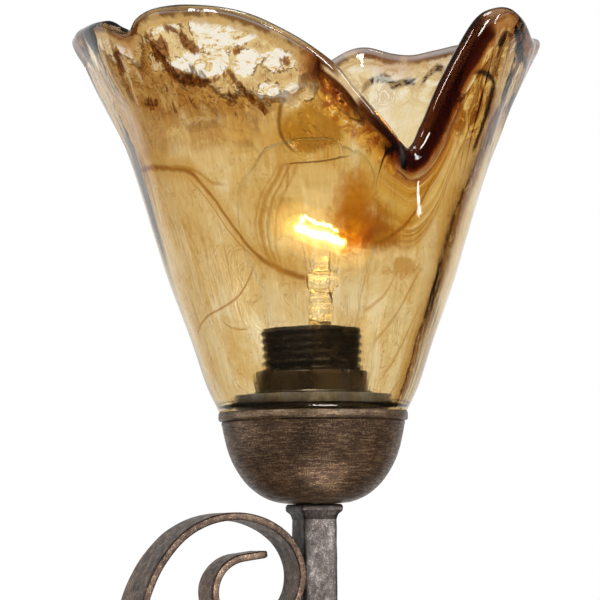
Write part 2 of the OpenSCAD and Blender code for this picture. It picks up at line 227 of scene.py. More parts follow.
# ------------------------------------------------------------------ materials
def bronze(name, stretch=(1, 1, 1), gold=0.5, brush=0.6, dark=1.0, rough=0.43, grey=0.0, bumps=0.34):
    """Hand-rubbed antique bronze paint: dark brown ground, fine drybrushed strokes, gold specks on worn edges. The
    "edge" attribute is over 0 where paint is worn, which on the cup's rim and the collar's band also stands in for a
    painted highlight along the edge, and under 0 along dark arrises.
    """
    m, n, b = principled(name, Metallic=0.72, **{"Specular_IOR_Level": 0.35})
    co = n.coord()
    st = n.mapping(co, scale=stretch)
    big = n.noise(co, 30, 3, 0.5)
    mid = n.noise(co, 110, 4, 0.6)
    strokes = n.noise(st, 330, 6, 0.75, 0.3)
    strokes2 = n.noise(st, 900, 4, 0.75)
    speck = n.noise(co, 2100, 3, 0.65)
    edge = n.attr("edge")
    low = (0.026 + 0.016 * grey, 0.014 + 0.020 * grey, 0.009 + 0.024 * grey)
    high = (0.094 + 0.02 * grey, 0.050 + 0.050 * grey, 0.028 + 0.068 * grey)
    ground = n.mix(n.span(n.math("ADD", n.math("MULTIPLY", big, 0.5), n.math("MULTIPLY", mid, 0.5)), 0.36, 0.64), tuple(c * dark for c in low), tuple(c * dark for c in high))
    tan = n.mix(n.span(speck, 0.38, 0.62), (0.19 + 0.03 * grey, 0.112 + 0.09 * grey, 0.062 + 0.13 * grey), (0.52 - 0.04 * grey, 0.345 + 0.10 * grey, 0.195 + 0.225 * grey))
    mixd = n.math("ADD", n.math("MULTIPLY", strokes, 0.45), n.math("ADD", n.math("MULTIPLY", strokes2, 0.33), n.math("MULTIPLY", speck, 0.22)))
    rub = n.math("MULTIPLY", n.span(mixd, 0.46, 0.64), brush)
    rub = n.math("MULTIPLY", rub, n.span(n.math("ADD", n.math("MULTIPLY", big, 0.6), n.math("MULTIPLY", mid, 0.4)), 0.30, 0.66, 0.45, 1.25))
    col = n.mix(rub, ground, tan)
    gold_m = n.math("MULTIPLY", n.span(n.noise(co, 1150, 4, 0.8), 0.60, 0.70), gold)
    col = n.mix(gold_m, col, (0.52, 0.38, 0.21))
    # light worn colour on edges: rubbed paint, which on the cup's rim and the collar's band is also a painted highlight
    worn = n.math("MAXIMUM", edge, 0.0)
    wear_and_edge_highlight = n.math("MULTIPLY", worn, n.span(n.math("ADD", n.math("MULTIPLY", n.noise(co, 190, 4, 0.65), 0.6), n.math("MULTIPLY", speck, 0.4)), 0.40, 0.58, 0.12, 1.0))
    col = n.mix(wear_and_edge_highlight, col, n.mix(n.span(n.noise(co, 1600, 3, 0.8), 0.42, 0.60), (0.20, 0.135, 0.085), (0.62, 0.48, 0.31)))
    arris = n.math("MULTIPLY", n.math("MAXIMUM", n.math("MULTIPLY", edge, -1.0), 0.0), n.span(n.noise(co, 300, 3, 0.6), 0.2, 0.5, 0.45, 1.0))
    col = n.mix(arris, col, (0.012, 0.008, 0.006))
    n.link(col, b.inputs["Base Color"])
    r = n.math("ADD", n.span(strokes, 0.3, 0.7, rough + 0.10, rough - 0.08), n.math("MULTIPLY", n.noise(co, 700, 3, 0.6), 0.08))
    n.link(r, b.inputs["Roughness"])
    h = n.math("ADD", n.math("MULTIPLY", strokes2, 0.6), n.math("ADD", n.math("MULTIPLY", strokes, 0.6), n.math("MULTIPLY", n.noise(co, 130, 3, 0.5), 1.5)))
    h = n.math("ADD", h, n.math("MULTIPLY", speck, 0.35))
    n.link(n.bump(h, bumps, 0.0004), b.inputs["Normal"])
    return m


def phenolic(name, tint=(0.0070, 0.0052, 0.0042), dust=0.30, rough=0.24, spec=0.85):
    m, n, b = principled(name, **{"Specular_IOR_Level": spec})
    co = n.coord()
    big = n.noise(co, 90, 4, 0.6)
    fine = n.noise(co, 2600, 3, 0.65)
    col = n.mix(n.span(big, 0.3, 0.7), tint, tuple(c * 2.2 for c in tint))
    specks = n.math("MULTIPLY", n.span(fine, 0.60, 0.72), dust)
    col = n.mix(specks, col, (0.32, 0.28, 0.22))
    n.link(col, b.inputs["Base Color"])
    n.link(n.span(n.math("ADD", big, n.math("MULTIPLY", fine, 0.5)), 0.4, 1.1, rough - 0.06, rough + 0.12), b.inputs["Roughness"])
    n.link(n.bump(n.math("ADD", fine, n.math("MULTIPLY", big, 2.0)), 0.16, 0.00022), b.inputs["Normal"])
    return m


def metal(name, colour, rough, metallic=1.0, stretch=(1, 1, 1), scale=900, var=0.25, bump=0.12):
    m, n, b = principled(name, Metallic=metallic)
    co = n.coord()
    st = n.mapping(co, scale=stretch)
    a = n.noise(st, scale, 5, 0.65)
    big = n.noise(co, 60, 3, 0.5)
    lo = tuple(c * (1 - var) for c in colour)
    hi = tuple(min(1.0, c * (1 + var)) for c in colour)
    n.link(n.mix(n.span(n.math("ADD", n.math("MULTIPLY", a, 0.6), n.math("MULTIPLY", big, 0.4)), 0.35, 0.65), lo, hi), b.inputs["Base Color"])
    n.link(n.span(a, 0.3, 0.7, rough - 0.07, rough + 0.09), b.inputs["Roughness"])
    n.link(n.bump(a, bump, 0.0002), b.inputs["Normal"])
    return m


def plastic(name, colour, rough=0.45, var=0.18, scale=500, bump=0.15, spec=0.5):
    m, n, b = principled(name, **{"Specular_IOR_Level": spec})
    co = n.coord()
    a = n.noise(co, scale, 4, 0.6)
    big = n.noise(co, 80, 3, 0.5)
    n.link(n.mix(n.span(big, 0.3, 0.7), tuple(c * (1 - var) for c in colour), tuple(min(1, c * (1 + var)) for c in colour)), b.inputs["Base Color"])
    n.link(n.span(a, 0.3, 0.7, rough - 0.08, rough + 0.08), b.inputs["Roughness"])
    n.link(n.bump(a, bump, 0.0002), b.inputs["Normal"])
    return m


def clear_glass(name, ior=1.46):
    m, n, b = principled(name, **{"Transmission_Weight": 1.0, "IOR": ior, "Roughness": 0.0})
    co = n.coord()
    n.link(n.mix(n.span(n.noise(co, 30, 2), 0.3, 0.7), (0.985, 0.98, 0.965), (1.0, 0.995, 0.985)), b.inputs["Base Color"])
    return m


def amber_glass(name):
    """Hand-blown amber glass. The UV map holds the angle and the height, and "rim" is the distance below the rim in metres."""
    m, n, b = principled(name, **{"Transmission_Weight": 1.0, "IOR": 1.48, "Roughness": 0.0, "Specular_IOR_Level": 0.5})
    uv = n.xyz(n.add("ShaderNodeUVMap", uv_map="glass").outputs[0])
    ang, hgt = uv[0], uv[1]            # angle / 360, height / 170 mm
    rim = n.attr("rim")                # metres below the rim
    bead = n.attr("bead")              # 0..1, how dark the rim runs here
    flow = n.attr("flow", "Vector")    # runs with the streaks, in metres
    pos = n.coord()
    deg = n.math("MULTIPLY", ang, 360.0)
    mm = n.math("MULTIPLY", hgt, 170.0)

    s_hair = n.noise(flow, 760, 3, 0.6, 0.4)
    s_fine = n.noise(flow, 330, 5, 0.62, 0.8)
    s_mid = n.noise(flow, 120, 5, 0.6, 1.6)
    s_big = n.noise(flow, 36, 4, 0.55, 2.0)
    cloud = n.noise(pos, 22, 5, 0.6, 1.2)
    curl = n.noise(pos, 38, 4, 0.6, 2.6)
    rag = n.noise(pos, 230, 6, 0.72, 0.8)
    rag2 = n.noise(pos, 75, 4, 0.6, 1.0)
    r0 = n.math("SUBTRACT", rag, 0.5)
    r2 = n.math("SUBTRACT", rag2, 0.5)

    def area(a, h, ra, rh, soft=1.0, ragged=1.0):
        """Soft patch centred at (degrees, mm) with half sizes ra degrees and rh mm."""
        dx = n.math("DIVIDE", n.math("SUBTRACT", deg, a), ra)
        dy = n.math("DIVIDE", n.math("SUBTRACT", mm, h), rh)
        r = n.math("SQRT", n.math("MULTIPLY_ADD", dx, dx, n.math("MULTIPLY", dy, dy)))
        r = n.math("MULTIPLY_ADD", r0, 1.1 * ragged, n.math("MULTIPLY_ADD", r2, 1.5 * ragged, r))
        return n.span(r, 1.0 + soft * 0.5, 1.0 - soft * 0.5)

    def line(pts, width, soft=1.0, wob=1.2, ragw=0.0, tip=4.0):
        """Line h = f(angle) through (degrees, mm), width in mm."""
        xs = [p[0] for p in pts]
        c = n.curve(ang, [(p[0] / 360.0, p[1] / 170.0) for p in pts])
        d = n.math("ABSOLUTE", n.math("SUBTRACT", mm, n.math("MULTIPLY_ADD", c, 170.0, n.math("MULTIPLY_ADD", r2, wob * 1.6, n.math("MULTIPLY", r0, wob)))))
        if ragw:
            d = n.math("MULTIPLY_ADD", r0, ragw, d)
        k = n.span(d, width * (1 + soft), width * 0.25)
        return n.math("MULTIPLY", k, n.math("MULTIPLY", n.span(deg, min(xs) - 1.0, min(xs) + tip), n.span(deg, max(xs) + 1.0, max(xs) - tip)))

    def steep(pts, width, soft=1.0, wob=1.0, ragw=0.0):
        """Line angle = f(h) through (mm, degrees), rising in mm, width in degrees."""
        c = n.curve(hgt, [(p[0] / 170.0, p[1] / 360.0) for p in pts])
        d = n.math("ABSOLUTE", n.math("SUBTRACT", deg, n.math("MULTIPLY_ADD", c, 360.0, n.math("MULTIPLY_ADD", r2, wob * 1.6, n.math("MULTIPLY", r0, wob)))))
        if ragw:
            d = n.math("MULTIPLY_ADD", r0, ragw, d)
        k = n.span(d, width * (1 + soft), width * 0.25)
        return n.math("MULTIPLY", k, n.math("MULTIPLY", n.span(mm, pts[0][0] - 1.0, pts[0][0] + 3.0), n.span(mm, pts[-1][0] + 1.0, pts[-1][0] - 3.0)))

    def paint(col, mask, colour, amount):
        return n.mix(n.math("MULTIPLY", mask, amount), col, colour)

    def vein(noise_value, at, width):
        """Thin lines where a noise passes one value."""
        return n.span(n.math("ABSOLUTE", n.math("SUBTRACT", noise_value, at)), width, width * 0.15)

    PALE, TAN, GOLD, AMBER, BROWN, BLACK = (0.96, 0.89, 0.70), (0.88, 0.73, 0.44), (0.83, 0.62, 0.24), (0.56, 0.24, 0.030), (0.27, 0.10, 0.022), (0.035, 0.012, 0.005)
    tone = n.math("ADD", n.math("MULTIPLY", n.span(s_big, 0.30, 0.70), 0.45), n.math("MULTIPLY", n.span(cloud, 0.30, 0.70), 0.55))
    col = n.mix(n.span(tone, 0.18, 0.78), PALE, TAN)
    # golden veils in the upper half and by the pinch
    veil = n.math("MULTIPLY", n.span(mm, 42, 100), n.span(n.math("ADD", n.math("MULTIPLY", cloud, 0.5), n.math("MULTIPLY", s_mid, 0.5)), 0.40, 0.60, 0.05, 0.80))
    front = n.math("MULTIPLY", n.span(deg, 180, 200), n.span(deg, 352, 335))
    veil = n.math("MULTIPLY", veil, n.math("MULTIPLY_ADD", front, 0.55, 0.45))
    col = n.mix(veil, col, GOLD)
    col = paint(col, area(262, 106, 24, 13, 1.2, 0.8), (0.74, 0.49, 0.12), 0.62)
    col = paint(col, area(306, 84, 24, 30, 1.4, 0.6), (0.80, 0.56, 0.15), 0.50)
    col = paint(col, area(322, 30, 22, 24, 1.4, 0.6), (0.93, 0.82, 0.50), 0.45)
    # left: a cooler, pinkish beige
    col = paint(col, area(209, 82, 27, 52, 1.2, 0.5), (0.94, 0.83, 0.64), 0.60)
    col = paint(col, area(196, 112, 18, 26, 1.2, 0.5), (0.84, 0.66, 0.42), 0.45)
    # hairs and veins that run with the flow
    streak = n.math("MULTIPLY", n.span(s_fine, 0.50, 0.72), n.span(rag2, 0.40, 0.62))
    col = paint(col, streak, (0.66, 0.44, 0.14), 0.30)
    hair = n.math("MULTIPLY", vein(s_hair, 0.50, 0.030), n.span(s_big, 0.42, 0.62))
    col = paint(col, hair, (0.62, 0.42, 0.16), 0.16)
    v1 = n.math("MULTIPLY", vein(s_mid, 0.47, 0.020), n.span(cloud, 0.42, 0.58))
    col = paint(col, n.math("MULTIPLY", v1, n.math("MULTIPLY_ADD", front, 0.8, 0.2)), (0.55, 0.31, 0.075), 0.50)
    v2 = n.math("MULTIPLY", vein(curl, 0.52, 0.014), n.span(s_mid, 0.40, 0.60))
    col = paint(col, n.math("MULTIPLY", v2, n.math("MULTIPLY_ADD", front, 0.9, 0.1)), (0.50, 0.27, 0.06), 0.50)
    v3 = n.math("MULTIPLY", n.span(curl, 0.52, 0.60), n.span(curl, 0.68, 0.60))
    col = paint(col, n.math("MULTIPLY", v3, n.span(s_fine, 0.35, 0.65)), (0.72, 0.50, 0.16), 0.50)
    pale_w = n.math("MULTIPLY", n.span(n.noise(flow, 52, 4, 0.6, 2.4), 0.54, 0.66), n.span(mm, 125, 110))
    col = paint(col, pale_w, (0.97, 0.90, 0.72), 0.55)

    # arcs that run parallel to the rim round the pinch
    arc = n.attr("arc", "Vector")
    arcm = n.attr("arcm")
    a_fine = n.noise(arc, 330, 4, 0.62, 0.25)
    a_mid = n.noise(arc, 110, 4, 0.6, 0.5)
    depth = n.math("MULTIPLY_ADD", n.math("SUBTRACT", a_mid, 0.5), 9.0, n.math("MULTIPLY_ADD", n.math("SUBTRACT", a_fine, 0.5), 5.0, n.math("MULTIPLY", rim, 1000.0)))
    tones = n.ramp(n.span(depth, 0.0, 44.0, 0, 1, smooth=False), (0.0, (0.05, 0.008, 0.001)), (0.11, (0.09, 0.014, 0.002)), (0.18, (0.26, 0.060, 0.006)), (0.24, (0.50, 0.19, 0.018)), (0.30, (0.72, 0.42, 0.07)), (0.35, (0.52, 0.235, 0.024)),
                   (0.42, (0.84, 0.60, 0.20)), (0.48, (0.90, 0.74, 0.38)), (0.54, (0.76, 0.50, 0.13)), (0.62, (0.92, 0.78, 0.44)), (0.70, (0.80, 0.56, 0.17)), (0.75, (0.50, 0.235, 0.026)), (0.80, (0.74, 0.48, 0.13)), (1.0, (0.88, 0.70, 0.36)))
    col = paint(col, arcm, tones, 0.90)
    col = paint(col, n.math("MULTIPLY", arcm, n.span(a_fine, 0.53, 0.62)), (0.46, 0.19, 0.018), 0.66)
    col = paint(col, n.math("MULTIPLY", arcm, n.span(a_fine, 0.44, 0.36)), (0.98, 0.88, 0.58), 0.60)

    # pale window over the filament, with a thin dark line along its top
    col = paint(col, area(271.5, 82, 9.5, 8.5, 0.35, 0.35), (0.97, 0.84, 0.55), 0.80)
    col = paint(col, area(268, 68, 9, 10, 0.9, 0.5), (0.97, 0.84, 0.52), 0.55)
    col = paint(col, line([(261.5, 90.4), (268, 91.0), (274, 91.6), (279, 92.6), (283, 93.4)], 0.30, 0.8, 0.9), (0.20, 0.08, 0.018), 0.80)
    col = paint(col, steep([(80, 262.0), (86, 262.6), (92, 262.2)], 0.35, 1.0, 0.8), (0.50, 0.27, 0.07), 0.55)
    # the long swirl and its neighbours
    swirl = [(194, 94.5), (206, 94.2), (218, 92.6), (222, 91.8), (226, 90.9), (229, 89.0), (232, 85.0), (235, 80.8), (238, 75.2), (241, 69.6), (244, 64.6), (247, 60.2), (250, 57.0), (254, 54.2), (259, 52.0), (263, 50.4), (270, 48.4)]
    col = paint(col, line([(p, q + 1.2) for p, q in swirl], 3.4, 1.6, 2.4), (0.74, 0.50, 0.16), 0.60)
    col = paint(col, line(swirl, 0.75, 1.4, 1.2, 0.8), (0.42, 0.19, 0.028), 0.88)
    col = paint(col, line([(219, 93.6), (227, 91.6), (232, 89.0), (237, 85.2), (241.5, 84.0)], 0.45, 1.6, 1.4), (0.55, 0.31, 0.07), 0.6)
    col = paint(col, line([(226, 88.8), (231, 82.5), (235, 76.0), (238.5, 69.0), (243, 62.0), (249, 55.8)], 0.35, 1.4, 1.8), (0.52, 0.28, 0.06), 0.6)
    col = paint(col, line([(201, 29.5), (207, 32.6), (212, 34.8), (218, 37.0), (226, 39.0), (232, 40.4), (238, 43.0), (243, 47.4), (246, 51.4), (249.5, 57.0)], 0.34, 1.2, 0.7), (0.50, 0.26, 0.055), 0.72)
    col = paint(col, line([(225, 41), (226.5, 35.4), (229, 32.6), (235, 31.2), (240, 30.6)], 0.32, 1.4, 1.2), (0.48, 0.26, 0.07), 0.68)
    col = paint(col, area(234, 20, 7, 10, 1.0, 1.4), (0.82, 0.62, 0.27), 0.62)
    # the bundle that bends round the left of the filament
    for k, (off, wd, am) in enumerate(((0.0, 0.60, 0.72), (2.6, 0.36, 0.62), (-1.9, 0.28, 0.5), (5.4, 0.30, 0.45))):
        col = paint(col, steep([(50, 259 + off * 0.2), (56, 254.4 + off * 0.6), (62, 252.2 + off * 0.9), (70, 252.2 + off), (78, 254.6 + off), (84, 257.8 + off), (92, 262 + off * 0.8)], wd, 1.6, 1.3), (0.58 + 0.02 * k, 0.32 + 0.02 * k, 0.055 + 0.01 * k), am)
    # amber clouds left of and below the pinch
    cloud_m = area(270.0, 104, 9.2, 8.6, 0.30, 0.7)
    col = paint(col, area(285.2, 75, 6.0, 14, 1.1, 0.8), (0.60, 0.26, 0.014), 0.92)
    col = paint(col, area(304, 77, 11, 8.5, 1.3, 1.4), (0.80, 0.54, 0.12), 0.62)
    col = paint(col, area(289.0, 68.0, 10.5, 8.0, 1.1, 0.9), (0.48, 0.170, 0.007), 0.94)
    col = paint(col, area(296.5, 64.0, 7.5, 3.8, 1.1, 0.9), (0.32, 0.080, 0.004), 0.88)
    col = paint(col, n.math("MULTIPLY", area(288.5, 70, 8, 9, 1.0, 1.8), n.span(curl, 0.56, 0.66)), (0.74, 0.40, 0.04), 0.45)
    tail = [(292, 62.6), (297, 63.4), (301, 65.4), (306, 68.2), (311, 72.4), (315.5, 77.6), (318.6, 83.2), (320.4, 88.0), (322, 95)]
    col = paint(col, line(tail, 2.4, 1.6, 1.6), (0.66, 0.36, 0.05), 0.62)
    col = paint(col, line([(p, q - 0.6) for p, q in tail], 0.6, 1.8, 1.2, 0.9), (0.40, 0.155, 0.014), 0.80)
    col = paint(col, area(309, 53.6, 6.5, 3.0, 1.2, 2.2), (0.60, 0.32, 0.04), 0.72)
    # diagonal strokes low on the right
    for k, (x0, y0, x1, y1, wd) in enumerate(((291, 36, 304, 47, 0.5), (299, 24, 318, 50, 0.6), (307, 10, 323, 36, 0.6), (316, 4, 327, 22, 0.6))):
        xm, ym = (x0 + x1) / 2 + 1.2, (y0 + y1) / 2 - 1.5
        col = paint(col, line([(x0, y0), (xm, ym), (x1, y1), (x1 + 3, y1 + 6)], wd, 2.2, 1.6), (0.62 - 0.02 * (k % 3), 0.38 - 0.02 * (k % 3), 0.085), 0.6)
    # the dark seam by the right-hand edge, with clear flecks
    fleck = n.span(n.noise(n.mapping(pos, scale=(1, 1, 0.6)), 420, 5, 0.78), 0.40, 0.50)
    seam = [(2, 331), (8, 331), (18, 331.5), (28, 332), (36, 333.2), (44, 332.6), (54, 332.2), (62, 332.4), (70, 333.4), (76, 332.0), (82, 333.0), (90, 336), (98, 340), (108, 342), (118, 344)]
    seam = [(2, 331), (8, 331), (18, 331.5), (28, 332), (36, 333.2), (44, 333.4), (54, 333.8), (62, 334.0), (70, 334.6), (76, 335.4), (82, 337.0), (90, 339.5), (98, 341), (108, 342), (118, 344)]
    col = paint(col, steep([(p, q - 5.0) for p, q in seam], 4.4, 1.0, 1.6), (0.66, 0.42, 0.12), 0.60)
    col = paint(col, n.math("MULTIPLY", steep(seam, 4.2, 0.8, 2.0, 4.0), n.math("MULTIPLY_ADD", fleck, 0.6, 0.4)), (0.30, 0.135, 0.034), 0.90)
    col = paint(col, n.math("MULTIPLY", steep([(p, q - 2.6) for p, q in seam], 0.9, 0.6, 1.4, 2.0), fleck), (0.13, 0.045, 0.010), 0.90)
    # S-shaped brown line beside the right-hand fold
    flute = n.noise(n.mapping(flow, scale=(1, 1, 1.6)), 300, 4, 0.7, 1.4)
    lobe = n.math("MULTIPLY", n.math("MULTIPLY", n.span(deg, 324.0, 327.0), n.span(deg, 340, 334)), n.math("MULTIPLY", n.span(mm, 96, 108), n.span(mm, 150, 146)))
    col = paint(col, lobe, n.mix(n.span(flute, 0.44, 0.56), (0.42, 0.17, 0.022), (0.90, 0.68, 0.26)), 0.85)
    col = paint(col, n.math("MULTIPLY", lobe, n.span(flute, 0.60, 0.66)), (0.99, 0.92, 0.66), 0.8)
    col = paint(col, steep([(99, 334.6), (104, 335.2), (110.1, 335.2), (115.3, 334.9), (120, 334.3), (125.5, 333.0)], 0.95, 0.7, 0.6), (0.045, 0.014, 0.005), 0.95)
    col = paint(col, line([(322.4, 127.6), (325, 128.6), (328, 128.7), (331, 127.4), (334.4, 123.4)], 1.0, 0.7, 0.6, 0.0, 1.2), (0.045, 0.014, 0.005), 0.95)
    col = paint(col, line([(335.0, 145.2), (337.5, 142.6), (340, 141.0), (342, 137.0)], 1.4, 0.8, 1.0, 0.0, 1.2), (0.10, 0.03, 0.008), 0.9)
    col = paint(col, area(329.9, 141.4, 1.2, 3.4, 0.5, 0.5), BLACK, 0.9)

    # upper band of the front lobe: clear windows torn open in a brown-gold skin
    fine = n.noise(pos, 620, 5, 0.75, 0.4)
    f0 = n.math("SUBTRACT", fine, 0.5)
    jag = n.math("MULTIPLY_ADD", r0, 7.0, n.math("MULTIPLY_ADD", r2, 3.4, n.math("MULTIPLY_ADD", f0, 3.4, 0.35)))
    cream_d = n.math("ADD", n.attr("cream"), jag)
    jag_v = n.math("MULTIPLY_ADD", r0, 2.6, n.math("MULTIPLY_ADD", n.math("SUBTRACT", s_fine, 0.5), 6.0, n.math("MULTIPLY", f0, 1.6)))
    chest_d = n.math("ADD", n.attr("chest"), jag_v)
    skin = n.attr("skin")
    shade = n.math("ADD", n.math("MULTIPLY", rag2, 0.6), n.math("MULTIPLY", s_mid, 0.4))
    col = paint(col, skin, n.mix(n.span(n.math("MULTIPLY_ADD", f0, 0.5, shade), 0.36, 0.62), (0.88, 0.70, 0.36), (0.58, 0.33, 0.085)), 0.84)
    col = paint(col, n.math("MULTIPLY", skin, vein(curl, 0.50, 0.012)), (0.22, 0.08, 0.016), 0.7)
    col = paint(col, n.math("MULTIPLY", skin, vein(rag2, 0.50, 0.012)), (0.30, 0.12, 0.024), 0.6)
    halo = n.span(cream_d, -2.6, -0.4)
    behind = n.math("MULTIPLY", n.span(deg, 94, 106), n.span(deg, 180, 168))
    fore = n.math("MULTIPLY_ADD", behind, -0.65, 1.0)
    col = paint(col, n.math("MULTIPLY", halo, fore), (0.90, 0.70, 0.34), 0.60)
    edge_l = n.math("MULTIPLY", n.span(cream_d, -1.0, -0.25), n.span(n.noise(pos, 120, 3, 0.6), 0.50, 0.56))
    col = paint(col, n.math("MULTIPLY", edge_l, fore), (0.17, 0.055, 0.011), 0.88)
    brush = n.noise(n.mapping(pos, rot=(0.3, 0.5, 0.4), scale=(1, 1, 2.4)), 95, 5, 0.65, 2.0)
    tone_c = n.mix(n.span(brush, 0.50, 0.60), (0.99, 0.955, 0.84), (0.90, 0.70, 0.34))
    tone_c = n.mix(n.math("MULTIPLY", n.math("MULTIPLY", n.span(brush, 0.595, 0.61), n.span(brush, 0.635, 0.62)), 0.8), tone_c, (0.35, 0.15, 0.03))
    col = n.mix(n.math("MULTIPLY", n.span(cream_d, -0.05, 0.25), fore), col, tone_c)
    col = paint(col, n.math("MULTIPLY", n.span(chest_d, -0.5, 0.5), fore), n.mix(n.span(rag, 0.42, 0.60), (0.165, 0.050, 0.010), (0.40, 0.16, 0.030)), 0.92)
    col = paint(col, n.math("MULTIPLY", n.math("MULTIPLY", n.span(chest_d, 0.5, 1.6), fore), n.span(fine, 0.45, 0.58)), (0.05, 0.016, 0.005), 0.75)
    splinter = n.noise(n.mapping(flow, scale=(1.0, 1.0, 2.2)), 520, 4, 0.72, 1.2)
    col = paint(col, n.math("MULTIPLY", n.math("MULTIPLY", skin, fore), n.math("MULTIPLY", n.span(splinter, 0.58, 0.63), n.span(rag2, 0.46, 0.60))), (0.20, 0.075, 0.016), 0.80)
    col = paint(col, cloud_m, n.mix(n.span(cloud, 0.42, 0.58), (0.66, 0.40, 0.075), (0.52, 0.27, 0.030)), 0.86)
    col = paint(col, n.math("MULTIPLY", cloud_m, vein(curl, 0.46, 0.014)), (0.26, 0.10, 0.012), 0.7)
    col = paint(col, steep([(94, 266.0), (97, 263.2), (101, 261.4), (106, 260.8), (110, 261.2), (114, 262.4)], 0.55, 0.8, 0.8), (0.24, 0.09, 0.016), 0.75)
    col = paint(col, line([(262, 114.5), (264.5, 117.4), (269, 118.6), (273.5, 118.6), (277, 116.6), (279.2, 113.0)], 1.3, 0.5, 1.0, 1.0, 1.0), (0.99, 0.93, 0.76), 0.92)
    # left folds
    col = paint(col, steep([(117, 213.6), (124, 213.4), (130, 214.2), (136, 214.0)], 0.55, 0.5, 0.8), (1.0, 0.96, 0.88), 0.85)
    col = paint(col, steep([(124, 218.8), (132, 218.2), (139, 218.4), (146, 217.0)], 0.60, 0.5, 0.8), (1.0, 0.96, 0.88), 0.80)
    col = paint(col, area(220.5, 144, 2.6, 3.4, 0.6, 1.0), (0.06, 0.022, 0.008), 0.9)
    col = paint(col, steep([(118, 211.5), (126.3, 210.8), (136.4, 212.1), (144.3, 213.3), (149, 214)], 0.7, 1.2, 1.6), (0.25, 0.11, 0.035), 0.7)
    col = paint(col, steep([(120, 208), (130, 206.6), (138, 207.4), (147, 209)], 0.5, 1.2, 1.6), (0.40, 0.22, 0.08), 0.6)
    col = paint(col, steep([(118, 204), (133.0, 197.2), (140.2, 202.1), (147.5, 206.3)], 0.8, 1.4, 1.6), (0.30, 0.15, 0.06), 0.6)

    # rear wall: dark strokes near the rim
    for pts, w in (([(74.8, 142.2), (73, 144.6), (71.4, 145.8), (69.6, 146.4), (68, 145.6), (66.2, 142.9)], 1.9), ([(66.5, 142.6), (63.5, 142.9), (61.8, 143.4), (59.5, 143.0)], 1.7), ([(56.6, 143.2), (55.0, 145.8), (53.6, 148.1), (51.2, 147.0)], 1.9),
                   ([(76, 156.8), (73.6, 156.6), (70.3, 155.6), (66, 154.4)], 1.2), ([(57, 153.2), (54.1, 154.4), (50, 153.6)], 1.2)):
        pts = sorted(pts)
        col = paint(col, line(pts, w * 1.45, 0.15, 1.0, 2.4, 0.2), (0.030, 0.014, 0.009), 0.99)
    rear = n.math("MULTIPLY", n.math("MULTIPLY", n.span(deg, 12, 30), n.span(deg, 178, 160)), n.span(mm, 126, 140))
    rear_w = n.noise(n.mapping(pos, scale=(1, 1, 1.6)), 62, 4, 0.6, 2.2)
    col = paint(col, n.math("MULTIPLY", rear, n.math("MULTIPLY", n.span(rear_w, 0.50, 0.56), n.span(rear_w, 0.64, 0.58))), (0.62, 0.42, 0.18), 0.65)
    col = paint(col, n.math("MULTIPLY", rear, n.span(rear_w, 0.48, 0.36)), (0.98, 0.94, 0.80), 0.6)

    # rim: golden brown lip, near black along the folds
    rr = n.math("MULTIPLY_ADD", r0, 0.0034, n.math("MULTIPLY_ADD", n.math("SUBTRACT", s_mid, 0.5), 0.0040, rim))
    lip = n.math("MULTIPLY", n.span(rr, 0.0050, 0.0030), n.math("MULTIPLY_ADD", n.span(deg, 176, 184), 0.55, 0.45))
    col = paint(col, lip, (0.60, 0.38, 0.13), 0.80)
    col = paint(col, n.math("MULTIPLY", n.span(rr, 0.0022, 0.0006), n.span(rag2, 0.36, 0.52, 0.35, 1.0)), (0.14, 0.050, 0.012), 0.8)
    deep = n.math("MULTIPLY", n.span(rr, 0.0098, 0.0052), bead)
    col = paint(col, deep, (0.42, 0.125, 0.010), 0.90)
    deep2 = n.math("MULTIPLY", n.span(rr, 0.0068, 0.0042), n.span(bead, 0.50, 0.95))
    col = paint(col, deep2, (0.055, 0.0075, 0.0012), 0.985)
    # the left limb of the pinch: dark along its edge, gold and orange windows inside, and a near-white strip that
    # stands in for a reflection along the limb (painted highlight)
    limb = n.math("MULTIPLY", n.span(deg, 270.5, 274), n.span(deg, 302, 298))
    wl = n.noise(arc, 75, 4, 0.65, 0.8)
    wl2 = n.noise(pos, 170, 4, 0.65, 0.6)
    inner_w = n.math("MULTIPLY", limb, n.math("MULTIPLY", n.span(rim, 0.0030, 0.0042), n.span(rim, 0.0135, 0.0100)))
    col = paint(col, inner_w, n.mix(n.span(wl2, 0.40, 0.58), (0.42, 0.115, 0.008), (0.86, 0.52, 0.09)), 0.80)
    col = paint(col, n.math("MULTIPLY", inner_w, n.span(wl, 0.54, 0.60)), (0.10, 0.022, 0.004), 0.80)
    col = paint(col, n.math("MULTIPLY", inner_w, n.span(wl2, 0.62, 0.66)), (1.0, 0.93, 0.74), 0.85)
    col = paint(col, n.math("MULTIPLY", limb, n.math("MULTIPLY", n.span(rim, 0.0031, 0.0022), n.span(deg, 284, 290, 0.35, 1.0))), (0.030, 0.008, 0.004), 0.95)
    # painted highlight: a near-white clear strip along the limb where it reflects a light
    painted_highlight_strip = line([(273.6, 125.0), (276.2, 122.4), (279.2, 119.2), (281.4, 116.2), (283.6, 112.6)], 0.95, 0.5, 0.5, 0.0, 1.0)
    col = paint(col, painted_highlight_strip, (1.0, 0.965, 0.93), 0.96)
    # black root of the pinch
    col = paint(col, line([(292.6, 89.0), (293.6, 93.6), (295.4, 96.4), (298.5, 97.6), (302.5, 99.0), (306.5, 101.0)], 1.5, 0.5, 1.0, 0.6, 0.6), (0.030, 0.008, 0.004), 0.97)
    # tiny dark seeds
    seeds = n.span(n.voronoi(pos, 230), 0.050, 0.028)
    keep = n.span(n.noise(pos, 60, 2, 0.5), 0.46, 0.56)
    col = paint(col, n.math("MULTIPLY", seeds, keep), (0.08, 0.035, 0.012), 0.85)
